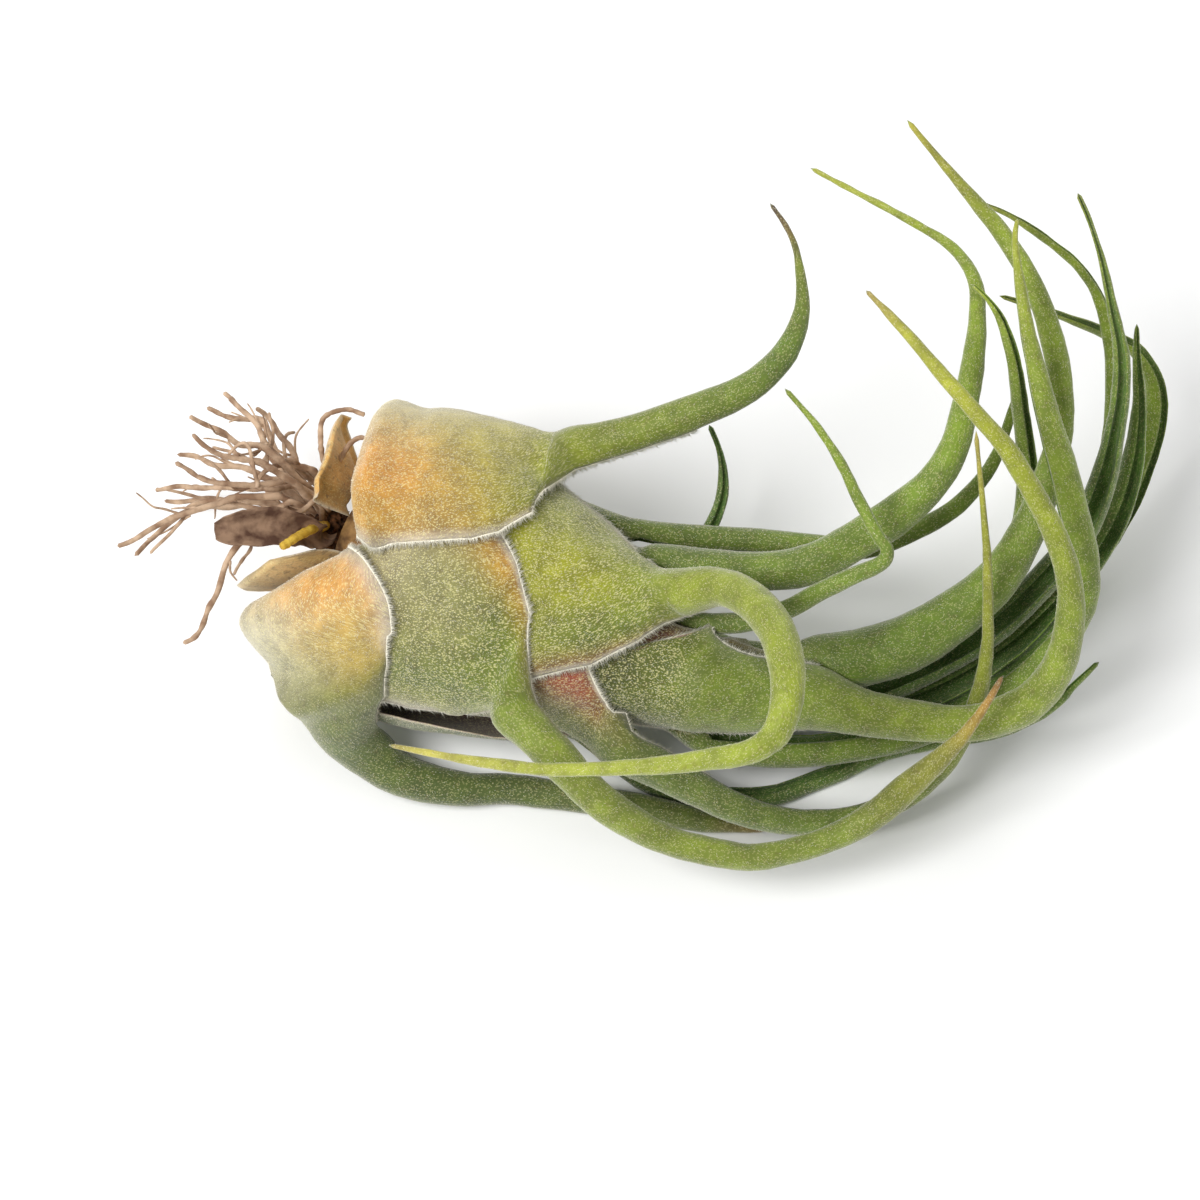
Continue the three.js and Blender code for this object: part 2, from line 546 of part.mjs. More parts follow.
    sheath: [
      [0.3, 36, 36], [1.3, 38, 38], [2.1, 38, 38], [2.8, 38, 38], [3.4, 38, 38], [4.1, 38, 38],
      [5, 38, 38], [6, 38, 38], [7, 34, 34], [8, 26, 26, 0.1, 4],
    ],
    blade: [
      [18, -14, 15.4, 2.2, 110], [28, -15, 13.6, 2.3], [37.7, -12.4, 14, 2.5], [47.9, -8, 15, 2.5],
      [56.5, -3.9, 18, 2.4], [63.7, 1.4, 22.4, 2.3], [69.3, 6.8, 27, 2.17], [72.5, 13, 32, 2.02],
      [74, 18.4, 37, 1.51], [74.7, 22.6, 41, 1.36], [74.5, 26.8, 45, 1.14], [73.1, 31.9, 49, 0.79],
      [71.6, 36.9, 53, 0.5], [69.7, 40.7, 57, 0.36], [67.8, 43.6, 60, 0.32],
    ],
  },
  {
    name: 'leaf_right_inner', layer: 7, azimuth: 124, across: 6, colour: 0x7da03a,
    sheath: [
      [0.3, 32, 32], [1.3, 36, 36], [2.1, 38, 38], [2.8, 38, 38], [3.4, 38, 38], [4.1, 38, 38],
      [5, 38, 38], [6, 38, 38], [7, 34, 34], [8, 26, 26, 0.1, 3],
    ],
    blade: [
      [16, -6.5, 16.5, 2, 110], [25, -7.5, 14, 2], [36, -6, 15, 2.05], [46, -3.4, 16.6, 2.05],
      [52.1, -1.3, 19.4, 2.03], [57.6, 2.3, 23.8, 1.87], [60.9, 7.8, 26.6, 1.72], [61.8, 14, 30.6, 1.57],
      [61, 18, 36, 1.35], [59.7, 19.8, 43.5, 1.2], [58.5, 21.9, 50, 0.99], [56.8, 26.3, 53, 0.71],
      [54.8, 28.7, 55, 0.42], [52.5, 30.7, 56, 0.32],
    ],
  },
];

// Remains of older sheaths, broken off short, outside the two outermost leaves. They flare
// backwards from the stem, so that each of their rows lies on a layer further out.
const oldSheaths = [
  {
    name: 'old_sheath_upper', layer: 0, azimuth: 50, across: 6, colour: 0xb59a52,
    rowLayers: [-1.4, -2.3, -3.1, -3.6],
    sheath: [[0.7, 30, 28], [1.1, 34, 30, 0, 0, 1], [1.5, 36, 32, 0, 0, 3], [1.9, 32, 30, 0, 0, 5]],
    blade: [],
  },
  {
    name: 'old_sheath_lower', layer: 0, azimuth: -42, across: 6, colour: 0xa8997a,
    rowLayers: [-0.6, -1.2, -1.9, -2.5],
    sheath: [[0.6, 24, 24], [1, 26, 26], [1.4, 26, 24], [1.7, 20, 16]],
    blade: [],
  },
];

// The short stem that the sheaths grow from, as radius and distance along the axis.
const stemProfile = [
  [0, 0.4], [5, 0.6], [6.2, 2], [6.3, 3], [5.1, 12], [4, 19.6], [2.4, 22], [0, 23.2],
];
const stemSides = 14;

// Dry crown that the roots grow from, behind the stem's cut end.
const crownCentre = new THREE.Vector3(-39.6, 10.1, 24.4);
const crownHalf = new THREE.Vector3(3, 3.4, 4.4);

// Middle lines of the roots, of two that loop back, of the flower stalk's stub and of the
// papery bract with its half widths.
const rootRadius = 0.45;
const rootSides = 4;
const rootStepsPerPoint = 2;
const roots = [
  [[-39.2, 12, 26], [-41.6, 15, 31], [-44.9, 14.7, 34], [-48.3, 17.3, 36], [-51.2, 21.4, 36], [-54.7, 24.5, 37]],
  [[-40.1, 13, 24], [-43.7, 16.5, 27], [-45, 20.5, 29], [-47.8, 24.5, 29], [-50.4, 25.6, 31]],
  [[-39.3, 10.4, 28], [-43.7, 11.5, 35], [-47.6, 14.2, 38], [-51.6, 14.8, 39], [-55.1, 16.8, 40], [-58.4, 17.2, 42]],
  [[-40.8, 12.6, 21.6], [-45.6, 19.5, 21], [-50.1, 30, 20], [-53.6, 30.5, 21], [-58.5, 31.7, 22]],
  [[-39.7, 9.5, 27.8], [-42.8, 9.4, 36], [-46.8, 9.4, 40], [-50.6, 10, 42], [-53.9, 10.9, 43], [-57.5, 12.6, 45]],
  [[-40.4, 11.5, 25], [-43.6, 13.2, 30], [-47, 12.7, 32], [-50.6, 11, 34], [-55.2, 10.5, 35], [-60.8, 12.2, 38]],
  [[-41.1, 12.6, 22.6], [-47.2, 18.8, 19], [-53.2, 20.3, 18], [-59.4, 21.3, 16], [-65.9, 23.1, 14]],
  [[-40.2, 9.7, 26.8], [-46.7, 10.9, 31], [-57.1, 8.3, 32], [-64.5, 5.1, 31], [-68.9, 2.7, 31]],
  [[-40.8, 11, 23.6], [-44.4, 12.7, 24], [-49.9, 14.2, 24], [-60.8, 12.7, 22], [-67.7, 6.1, 22]],
  [[-40.2, 8.6, 27], [-44.4, 5.2, 33.6], [-48.4, 4.3, 35.4], [-52.3, -1.1, 33.8], [-55.7, -8.3, 29.6], [-59.5, -11.3, 28]],
  [[-40.9, 12.4, 23.6], [-48.1, 17.1, 26], [-53.9, 18.5, 27], [-62.2, 19.9, 28]],
  [[-41.2, 12.2, 22], [-49.1, 19.8, 14], [-56.1, 22.5, 11], [-65.4, 24.3, 8]],
  [[-38.8, 11.6, 27.4], [-39.6, 15.4, 33], [-40.1, 18.8, 35], [-39.5, 21.6, 36], [-37, 22.3, 37], [-33.7, 21.1, 37]],
  [[-38.6, 10.4, 28], [-37.8, 13, 34.4], [-36.6, 15, 37.4], [-34.1, 16.4, 38.6], [-32, 15.2, 39.4]],
];
const stalkRadius = 0.6;
const stalkLine = [[-39.6, 8.2, 27.4], [-41, 4.4, 32.6], [-42.6, 1.6, 35], [-44.8, -0.2, 36]];
const bractThickness = 0.62;
const bractRows = [
  [-39.4, 6.4, 28, 1.2], [-40.2, 3.4, 32.4, 1.6], [-43.4, 2.6, 35.8, 2.3], [-47.4, 1.9, 37.4, 2.7],
  [-51.6, 0.9, 38.4, 2.4], [-54.4, 0.5, 38.4, 1.1],
];

// Fine rootlets branch off the roots. They are spread by a seeded sequence: where along its
// root each one starts, how far it reaches, which way it heads and how much it droops.
const rootletSeed = 7;
const rootletCount = 8;
const rootletRadius = 0.32;
const rootletReach = [6, 11];
const rootletStart = [0.35, 0.65];
const rootletBack = -0.8;
const rootletAside = [-0.8, 0.8];
const rootletUp = [-0.7, 0.5];
const rootletDroop = 0.12;

const bractAcross = 4;
const bractTrough = 0.35;
const roughness = 0.75;

const clearance = 0.12;

function solidFrom(geometry) {
  const plain = geometry.clone();
  plain.deleteAttribute('normal');
  plain.deleteAttribute('uv');
  const welded = mergeVertices(plain, 1e-4);
  return new wasm.Manifold(new wasm.Mesh({
    numProp: 3,
    vertProperties: Float32Array.from(welded.attributes.position.array),
    triVerts: Uint32Array.from(welded.index.array),
  }));
}

function geometryFrom(solid) {
  const mesh = solid.getMesh();
  const geometry = new THREE.BufferGeometry();
  geometry.setAttribute('position', new THREE.BufferAttribute(Float32Array.from(mesh.vertProperties), 3));
  geometry.setIndex(new THREE.BufferAttribute(Uint32Array.from(mesh.triVerts), 1));
  return geometry;
}

const touches = (a, b) => !a.intersect(b).isEmpty();

// A piece without the space of the ones that it grows against, as one body.
function carved(solid, spaces) {
  const cut = spaces.filter((space) => touches(solid, space)).reduce((rest, space) => rest.subtract(space), solid);
  return cut.decompose().reduce((best, piece) => (piece.volume() > best.volume() ? piece : best));
}

// The stem, or with a margin the space that it fills.
function stemSolid(margin = 0) {
  const points = stemProfile.map(([radius, along]) => new THREE.Vector2(radius ? radius + margin : 0, along));
  const geometry = new THREE.LatheGeometry(points, stemSides);
  const up = new THREE.Vector3(0, 1, 0);
  geometry.applyQuaternion(new THREE.Quaternion().setFromUnitVectors(up, bulbAxis));
  geometry.translate(bulbFoot.x, bulbFoot.y, bulbFoot.z);
  return solidFrom(geometry);
}

function crownSolid(margin = 0) {
  const geometry = new THREE.IcosahedronGeometry(1, 2);
  geometry.scale(crownHalf.x + margin, crownHalf.y + margin, crownHalf.z + margin);
  geometry.translate(crownCentre.x, crownCentre.y, crownCentre.z);
  return solidFrom(geometry);
}

function tubeSolid(line, radius) {
  const curve = new THREE.CatmullRomCurve3(line.map((point) => new THREE.Vector3(...point)));
  const ring = new THREE.Shape();
  for (let k = 0; k < rootSides; k += 1) {
    const angle = (2 * Math.PI * k) / rootSides;
    ring[k ? 'lineTo' : 'moveTo'](radius * Math.cos(angle), radius * Math.sin(angle));
  }
  ring.closePath();
  const steps = rootStepsPerPoint * (line.length - 1);
  return solidFrom(new THREE.ExtrudeGeometry(ring, { steps, extrudePath: curve, bevelEnabled: false }));
}

function seededSequence(seed) {
  let state = seed;
  return () => {
    state = (state * 16807) % 2147483647;
    return state / 2147483647;
  };
}

// Each rootlet leaves its root sideways and backwards, and droops a little.
function rootletLines() {
  const random = seededSequence(rootletSeed);
  const between = ([least, most]) => THREE.MathUtils.lerp(least, most, random());
  return Array.from({ length: rootletCount }, (_, k) => {
    const curve = new THREE.CatmullRomCurve3(roots[k].map((point) => new THREE.Vector3(...point)));
    const start = curve.getPoint(between(rootletStart));
    const reach = between(rootletReach);
    const heading = new THREE.Vector3(rootletBack, between(rootletAside), between(rootletUp)).normalize();
    const middle = start.clone().addScaledVector(heading, 0.5 * reach);
    const end = start.clone().addScaledVector(heading, reach);
    end.z -= rootletDroop * reach;
    return [start, middle, end].map((point) => point.toArray());
  });
}

function rootsSolid() {
  const pieces = [
    ...roots.map((line) => tubeSolid(line, rootRadius)),
    ...rootletLines().map((line) => tubeSolid(line, rootletRadius)),
  ];
  return pieces.reduce((sum, piece) => sum.add(piece), crownSolid());
}

// The bract is a thin trough, open towards the front.
function bractGeometry() {
  const centres = bractRows.map(([x, y, z]) => new THREE.Vector3(x, y, z));
  const rows = centres.map((centre, i) => {
    const before = centres[Math.max(i - 1, 0)];
    const after = centres[Math.min(i + 1, centres.length - 1)];
    const heading = after.clone().sub(before).normalize();
    const sideways = new THREE.Vector3().crossVectors(frontHint, heading).normalize();
    const outward = new THREE.Vector3().crossVectors(heading, sideways);
    const halfWidth = bractRows[i][3];
    const row = Array.from({ length: bractAcross + 1 }, (_, j) => {
      const share = (2 * j) / bractAcross - 1;
      return centre.clone()
        .addScaledVector(sideways, share * halfWidth)
        .addScaledVector(outward, bractTrough * halfWidth * share * share);
    });
    return { row, thickness: bractThickness };
  });
  return closedShell(rows);
}

const plant = new THREE.Group();

function addPart(name, solid, colour) {
  const material = new THREE.MeshStandardMaterial({ color: colour, roughness, metalness: 0 });
  const mesh = new THREE.Mesh(geometryFrom(solid), material);
  mesh.name = name;
  plant.add(mesh);
}

// Each leaf keeps out of the space of the ones outside it, and of the stem.
const stemSpace = stemSolid(clearance);
const leafSpaces = [];
[...oldSheaths, ...leaves].forEach((leaf) => {
  const rows = leafRows(leaf);
  const solid = solidFrom(closedShell(rows));
  addPart(leaf.name, carved(solid, [stemSpace, ...leafSpaces]), leaf.colour);
  leafSpaces.push(solid.add(solidFrom(closedShell(rows, clearance))));
});
addPart('stem', stemSolid(), 0x9a7b4a);
addPart('roots', carved(rootsSolid(), [stemSpace, ...leafSpaces]), 0x6b5345);
const rootSpaces = [crownSolid(clearance), ...roots.map((line) => tubeSolid(line, rootRadius + clearance))];
addPart('flower_stalk_stub', carved(tubeSolid(stalkLine, stalkRadius), [...rootSpaces, ...leafSpaces]), 0xb8983a);
const stalkSpace = tubeSolid(stalkLine, stalkRadius + clearance);
addPart('dead_bract', carved(solidFrom(bractGeometry()), [stalkSpace, ...rootSpaces, ...leafSpaces]), 0x7d6250);

// Set down: the origin comes under the middle of the outline, on the surface.
const outline = new THREE.Box3().setFromObject(plant);
const middle = outline.getCenter(new THREE.Vector3());
plant.children.forEach((mesh) => mesh.geometry.translate(-middle.x, -middle.y, -outline.min.z));

export default plant;
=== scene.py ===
# Dressed air plant: finer leaves with their scales, hairs and colours, wiry roots, a plain
# pale floor, soft studio light and the photograph's view. Lengths are in millimetres in the
# plan that the leaves are measured in, and are set down into the frame in metres.

import random
import bmesh
import bpy
import numpy as np
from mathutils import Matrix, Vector, noise
from mathutils.bvhtree import BVHTree


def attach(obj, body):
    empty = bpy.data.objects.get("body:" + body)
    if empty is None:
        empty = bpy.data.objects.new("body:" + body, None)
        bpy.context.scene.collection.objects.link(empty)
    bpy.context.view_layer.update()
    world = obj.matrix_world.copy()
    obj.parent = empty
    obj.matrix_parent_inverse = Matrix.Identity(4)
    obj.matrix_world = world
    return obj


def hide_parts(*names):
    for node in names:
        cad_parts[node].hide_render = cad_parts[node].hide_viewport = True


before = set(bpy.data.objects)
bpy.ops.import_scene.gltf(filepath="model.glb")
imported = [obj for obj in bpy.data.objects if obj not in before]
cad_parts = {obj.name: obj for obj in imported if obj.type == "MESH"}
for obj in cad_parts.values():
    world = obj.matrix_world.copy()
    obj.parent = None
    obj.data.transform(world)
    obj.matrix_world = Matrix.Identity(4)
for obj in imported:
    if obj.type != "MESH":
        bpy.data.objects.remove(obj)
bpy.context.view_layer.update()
wanderSeed = 3
noise.seed_set(wanderSeed)

# Plan millimetres become frame metres by this move and scale.
setDown = np.array([-6.892, -8.001, -2.0])
metresPerMm = 0.001

# The bulb's axis, and the side that azimuths about it count from.
bulbFoot = np.array([-37.3, 8.6, 24.0])
bulbHeading = np.array([63.0, -25.7, -3.0])
frontHint = np.array([0.0, -0.5, 0.866])

# Outline of the bulb from its foot outwards, as distance along the axis and radius: the
# outermost layer, and the innermost one round the growing tip. Layers lie between the two.
outerOutline = np.array([
    [3, 6], [2.2, 9], [-0.2, 13.5], [-0.4, 18], [4, 21.7], [12, 23.2],
    [22, 22.4], [33, 19.9], [45, 16.8], [58, 13.2], [72, 9.6],
])
innerOutline = np.array([
    [20, 4.2], [20.2, 5.6], [20.4, 7.4], [21, 9], [22.8, 10.4], [25, 11.2],
    [29, 11.2], [36, 9.4], [46, 6.8], [58, 4.4], [72, 2.6],
])
innerLayer = 8
shoulderIndex = 3

# The foot's rim is uneven. Shift, tilt and saddle are the terms of its wave round the axis.
rimShift = -1.2
rimTilt = 5.7
rimSaddle = 3.9
rimAzimuth = -85
rimIndex = 2.8
rimReach = 2.7

# Foot rows follow the rim up to the first of these outline places and none after the second.
rimRowsFrom = 3.4
rimRowsTo = 4.1

# Thicknesses, with the share of its radius that a blade's wall may take, and the height of
# the surface that the plant lies on, which flattens what touches it.
sheathThickness = 0.75
bladeThickness = 0.95
thickestShare = 0.8
marginThickness = 0.16
restHeight = 2.0
pressedThickness = 0.3

# Degrees of curl to each side, and the rows over which a blade takes up its twist.
bladeCurl = 150
widestCurl = 165
leastCurl = 60
twistedRows = 5

# How finely leaves are divided, and how finely their meeting with the bulb is searched for.
rowsPerStation = 5
columnsAcross = 28
outlineSamples = 201
searchPasses = 18
curlSteps = 24
sunkDepth = 0.02
neckReach = 2.5

# Margins press down onto the next layer by this share of a layer, from this share of the
# width on. A drawn margin fades out over these rows.
marginPress = 0.55
marginPressFrom = 0.7
marginFade = 1.2

# Leaves from the outermost inwards. A sheath row is the place along the bulb's outline, the
# degrees that the sheath wraps below and above its midrib, and towards the neck how far the
# midrib has risen off the bulb and the radius it is curled to. A blade row is the middle of
# the blade (x, y, z), the radius it is curled to and, near the neck, the degrees of curl.
# Slides are how far the margins of the foot's rows run ahead in places along the outline, and
# leads how far those of the later rows do in millimetres. A margin that is drawn to a line has
# the row, the azimuth and the distance along the bulb's axis of each of its points. Row layers
# say how far out the foot's rows lie where that isn't the leaf's own layer.
leaves = [
    {
        "name": "leaf_upper_left", "layer": 0, "azimuth": 76,
        "rowLayers": [-0.8, -1.2, -1.4, -1.4, -1.2],
        "lowerSlide": [3.9, 3.0, 2.3, 1.75, 1.3, 0.6],
        "lowerMargin": [[4, 2, 9.3], [5, 4, 11.8], [6, 10, 17], [7, 16, 21.8], [8, 23, 24.8], [9, 38, 27.8]],
        "sheath": [
            [0.3, 66, 76], [1.3, 72, 80], [2.1, 74, 80], [2.8, 75, 80],
            [3.4, 76, 80], [4.1, 77, 78], [5, 76, 70], [5.5, 62, 58, 0.8, 17],
            [5.9, 48, 44, 2, 9], [6.2, 36, 34, 3, 5.6],
        ],
        "blade": [
            [-3.4, 15, 37, 3.5, 140], [3.6, 16, 39.2, 2.72], [12.8, 17.9, 42, 2.64],
            [21.1, 21, 44, 2.28], [26.5, 25.8, 46, 1.85], [28.9, 32.1, 48, 1.14],
            [28.5, 38.6, 50, 0.57], [27.2, 43.2, 51, 0.4], [24.5, 47.6, 52, 0.32],
        ],
    },
    {
        "name": "leaf_lower_left", "layer": 0, "azimuth": -84,
        "bladeOutward": [-0.75, -0.6, 0.2],
        "upperSlide": [0, 0.6, 1.2, 1.5, 1.65, 1.6],
        "upperMargin": [[4, -14, 12.5], [5, -26, 15], [6, -42, 16], [7, -60, 16.2]],
        "sheath": [
            [0.3, 62, 74], [1.3, 64, 78], [2.1, 66, 80], [2.8, 66, 78],
            [3.4, 64, 69], [3.8, 50, 54, 0.5, 17],
        ],
        "blade": [
            [-38, -13.6, 18.4, 8.2, 92], [-37.6, -15.2, 16, 6, 108], [-36.2, -17.6, 12, 4.5, 130],
            [-33.1, -19.1, 8.4, 3.77], [-28.5, -21.6, 6.4, 3.2], [-20.5, -23, 5, 2.62],
            [-13.7, -22.6, 4.2, 2.33], [-5.8, -23.5, 3.8, 2.19], [5.8, -25.4, 3.8, 2.04],
            [15.1, -27.5, 3.4, 1.6], [24.7, -28.4, 2.7, 0.5],
        ],
    },
    {
        "name": "leaf_front", "layer": 1, "azimuth": -38,
        "upperLead": [0, 0, 0, 0, 0, 0, 1, 1],
        "upperMargin": [[8, 15, 28.6], [9, -4, 32.9]],
        "sheath": [
            [0.3, 58, 70], [1.3, 62, 76], [2.1, 60, 78], [2.8, 56, 80], [3.4, 50, 80], [4.1, 42, 80],
            [5, 36, 76], [6, 30, 64], [6.5, 28, 54, 0.7, 15], [6.8, 24, 34, 1.6, 8.5],
        ],
        "blade": [
            [-12, -22.2, 27.4, 3.7, 130], [-9.2, -25.6, 26.8, 3.02], [-5.9, -28.8, 25.5, 2.88],
            [-2.5, -31.9, 23.5, 2.6], [1, -34.6, 22, 2.53], [5.6, -36.3, 19, 2.32],
            [10.4, -37.8, 17, 2.12], [16.5, -38.9, 16, 2.05], [22.2, -39.1, 15, 1.91],
            [29, -37.5, 15, 1.84], [34.7, -35.6, 16, 1.98], [39.3, -33.5, 18, 2.05],
            [44.1, -29.9, 20, 1.98], [49, -27, 24, 1.34], [52.2, -24.5, 27, 0.84],
            [54.2, -22.2, 29, 0.56], [56.5, -19.1, 32, 0.32],
        ],
    },
    {
        "name": "leaf_back_short", "layer": 1, "azimuth": 148,
        "sheath": [
            [0.3, 38, 48], [1.3, 40, 56], [2.1, 42, 62], [2.8, 42, 66], [3.4, 42, 68], [4.1, 42, 70],
            [5, 42, 70], [6, 38, 64], [6.8, 24, 34, 0.5, 8],
        ],
        "blade": [
            [-0.5, 7, 14.5, 2.2, 110], [5.9, 7.2, 14.5, 1.4], [13.2, 9.6, 17, 1.17],
            [16.6, 13.8, 19, 1.03], [18.1, 18, 22, 0.88], [17.6, 22, 25, 0.51], [16, 25, 28, 0.32],
        ],
    },
    {
        "name": "leaf_looping", "layer": 2, "azimuth": 30,
        "lowerMargin": [[8, -35, 35.5], [9, -19, 42.6], [10, 4, 47.8], [10.6, 22, 50.3], [11, 34, 52.5]],
        "sheath": [
            [0.3, 58, 60], [1.3, 62, 64], [2.1, 62, 64], [2.8, 62, 64], [3.4, 63, 64], [4.1, 64, 64],
            [5, 66, 64], [6, 67, 60], [7, 64, 48, 0.3, 14], [7.6, 46, 36, 1.2, 10], [8, 26, 26, 2.2, 7],
        ],
        "blade": [
            [11.2, -8.8, 36, 4.2, 125], [16.4, -10, 41, 2.72], [20.7, -14.4, 45, 2.69],
            [23.9, -20.6, 48, 2.66], [25.3, -27.5, 49.5, 2.5], [25.2, -32.6, 49, 2.23],
            [23.6, -36.6, 47, 1.96], [20, -38.7, 46, 1.69], [15.1, -39.2, 45, 1.49],
            [8.7, -39.1, 43, 1.29], [0, -38.1, 40, 1.02], [-8.1, -36.6, 37, 0.89],
            [-16.5, -34.4, 35, 0.76], [-23.5, -32, 33, 0.48], [-29.4, -30.2, 32, 0.32],
        ],
    },
    {
        "name": "leaf_under_long", "layer": 0, "azimuth": -132,
        "rowLayers": [2, 2, 2, 2, 1.6, 0.4],
        "sheath": [
            [0.3, 44, 42], [1.3, 48, 44], [2.1, 50, 44], [2.8, 50, 44], [3.4, 50, 46], [4.1, 48, 50],
            [5, 46, 53], [6, 42, 52], [7, 30, 36], [7.5, 18, 18, 0.4, 7],
        ],
        "blade": [
            [5.8, -20.1, 4, 2.1, 110], [14.6, -23.1, 3.2, 1.75], [24.1, -23.4, 3.1, 1.61],
            [33.7, -19.7, 3, 1.46], [41.8, -16.1, 3.5, 1.39], [49.7, -15.3, 5.6, 1.31],
            [58.2, -15.5, 9, 1.16], [65.1, -14, 13, 0.87], [68.7, -11.7, 16, 0.51],
            [71.9, -9.7, 19, 0.32],
        ],
    },
    {
        "name": "leaf_front_low", "layer": 3, "azimuth": -79,
        "upperMargin": [[9, -21, 42], [10, -49, 46]],
        "sheath": [
            [0.3, 44, 66], [1.3, 46, 70], [2.1, 46, 70], [2.8, 46, 72], [3.4, 46, 72], [4.1, 46, 72],
            [5, 46, 72], [6, 44, 72], [7, 42, 70], [7.5, 38, 60, 0.8, 11], [7.9, 30, 38, 2.4, 7],
        ],
        "blade": [
            [2.8, -23.3, 19, 3.6, 125], [7.9, -25.1, 16, 3], [14.3, -27.4, 13, 2.58],
            [20.8, -29.2, 10, 2.3], [27.6, -29.8, 8, 2.01], [36.1, -28.8, 7, 1.88],
            [44, -25.9, 8, 1.73], [49.3, -22.3, 11, 1.73], [52.5, -18.7, 15, 1.44],
            [54.4, -15, 19.5, 1.29], [55.1, -11.2, 26.5, 0.93], [54.9, -7.3, 32.5, 0.78],
            [54.5, -3, 38, 0.64], [53.8, 2.1, 43, 0.42], [52.6, 10.2, 50, 0.32],
        ],
    },
    {
        "name": "leaf_upper_thin", "layer": 3, "azimuth": 97, "twist": 30,
        "sheath": [
            [0.3, 24, 24], [1.3, 26, 26], [2.1, 27, 27], [2.8, 27, 27], [3.4, 27, 27], [4.1, 27, 27],
            [5, 26, 26], [6, 24, 24], [6.9, 18, 18, 0.6, 5],
        ],
        "blade": [
            [5.8, 7, 27, 2.1, 120], [14.5, 6.9, 26, 1.88], [23.1, 6.4, 26, 1.81], [31.8, 5.4, 26, 1.73],
            [38.3, 5.2, 26, 1.59], [44.5, 7, 27, 1.44], [50.8, 9.8, 29, 1.3], [55.1, 13.7, 31, 1.08],
            [57.5, 17.2, 33, 0.87], [59.1, 21.1, 36, 0.65], [60.3, 25.4, 38, 0.32],
        ],
    },
    {
        "name": "leaf_back_outer", "layer": 3, "azimuth": 175, "twist": 40,
        "sheath": [
            [0.3, 40, 36], [1.3, 42, 38], [2.1, 42, 38], [2.8, 42, 38], [3.4, 42, 38], [4.1, 42, 38],
            [5, 40, 38], [6, 38, 36], [7, 28, 28, 0.3, 9], [7.5, 18, 18, 1.2, 5],
        ],
        "blade": [
            [13, -1.5, 7.6, 2.7, 120], [28, -5, 5, 2.3], [39.8, -8.1, 4.2, 2.21],
            [51.9, -2.6, 3.8, 2.22], [62.6, 4.1, 3.9, 2.24], [71.7, 13, 6.5, 2.24],
            [78, 20.7, 11, 2.09], [81.4, 27.3, 16, 1.94], [82.8, 32.5, 20, 1.78], [82.1, 36, 24, 1.41],
            [79.1, 38.3, 28, 1.1], [74.2, 38.8, 31.6, 0.88], [69.5, 37.9, 36, 0.72],
            [63.9, 37.4, 40, 0.5], [57.8, 37.6, 43, 0.32],
        ],
    },
    {
        "name": "leaf_long_front", "layer": 4, "azimuth": -8,
        "upperLead": [0, 0, 0, 0, 0, 0, 0, 0, 1, 3, 5],
        "upperMargin": [
            [8, 20, 39], [8.6, 4, 44.5], [9, 0, 47.6], [9.6, 18, 51.5], [10, 30, 53.5], [10.6, 52, 56],
        ],
        "sheath": [
            [0.3, 60, 58], [1.3, 64, 60], [2.1, 66, 60], [2.8, 68, 60], [3.4, 70, 60], [4.1, 71, 60],
            [5, 72, 60], [6, 74, 60], [7, 76, 60], [8, 78, 62], [8.6, 82, 66, 0.4, 0],
        ],
        "blade": [
            [14.2, -15.9, 24, 7.11, 90], [22.8, -16.9, 23, 5.98, 82], [30.2, -17.1, 22, 4.85, 86],
            [37.2, -19, 21, 3.42, 115], [44.5, -19.8, 20, 2.99], [52, -20.4, 20, 2.64],
            [58.3, -19.7, 22, 2.77], [62.7, -18.2, 26, 2.62], [65.1, -15.9, 32, 2.32],
            [65.8, -12.3, 38, 2.03], [65.1, -8.9, 43, 1.81], [62.8, -5, 48, 1.66],
            [59.7, -0.9, 52, 1.52], [56.2, 3.1, 56, 1.38], [52.3, 6.4, 59, 1.17], [47.5, 11, 62, 1.03],
            [42.6, 15.9, 65, 0.76], [39.2, 18.9, 67, 0.55], [36.6, 21.5, 68, 0.32],
        ],
    },
    {
        "name": "leaf_back_hooked", "layer": 4, "azimuth": 142, "twist": 40,
        "sheath": [
            [0.3, 40, 40], [1.3, 42, 42], [2.1, 42, 42], [2.8, 42, 42], [3.4, 42, 42], [4.1, 42, 42],
            [5, 42, 42], [6, 40, 40], [7, 34, 34], [7.7, 22, 22, 0.3, 5],
        ],
        "blade": [
            [16, -3.5, 12.8, 2.4, 120], [24, -4.2, 10.8, 2.1], [34, -3.8, 9.8, 1.9],
            [46, -2.9, 10, 1.8], [58.3, -0.4, 11.6, 1.75], [67.1, 7.1, 15.6, 1.75],
            [72.3, 14.1, 20, 1.61], [74.4, 20.6, 25, 1.46], [75.2, 27.9, 30, 1.31],
            [74.8, 34.4, 33.6, 1.1], [73, 40.2, 38, 0.88], [69.9, 43.1, 42, 0.73],
            [66.1, 44.9, 45, 0.65], [62.2, 46, 48, 0.58], [58.4, 46.5, 51, 0.43],
            [54.9, 46.8, 53, 0.32],
        ],
    },
    {
        "name": "leaf_right_front", "layer": 4, "azimuth": -116,
        "sheath": [
            [0.3, 26, 26], [1.3, 28, 28], [2.1, 28, 28], [2.8, 28, 28], [3.4, 28, 28], [4.1, 28, 28],
            [5, 28, 28], [6, 28, 28], [7, 28, 28], [8, 26, 26], [8.6, 20, 20, 0.3, 4],
        ],
        "blade": [
            [16, -18.8, 12, 2.6, 125], [26, -20, 10.8, 2.4], [37.6, -18.5, 10, 2.32],
            [47.9, -15.9, 11, 2.47], [57.9, -11.6, 14, 2.46], [64.8, -8.3, 20, 2.59],
            [68.6, -4.9, 27, 2.36], [68.7, -0.9, 33, 2.35], [66.9, 3.7, 39, 2.26],
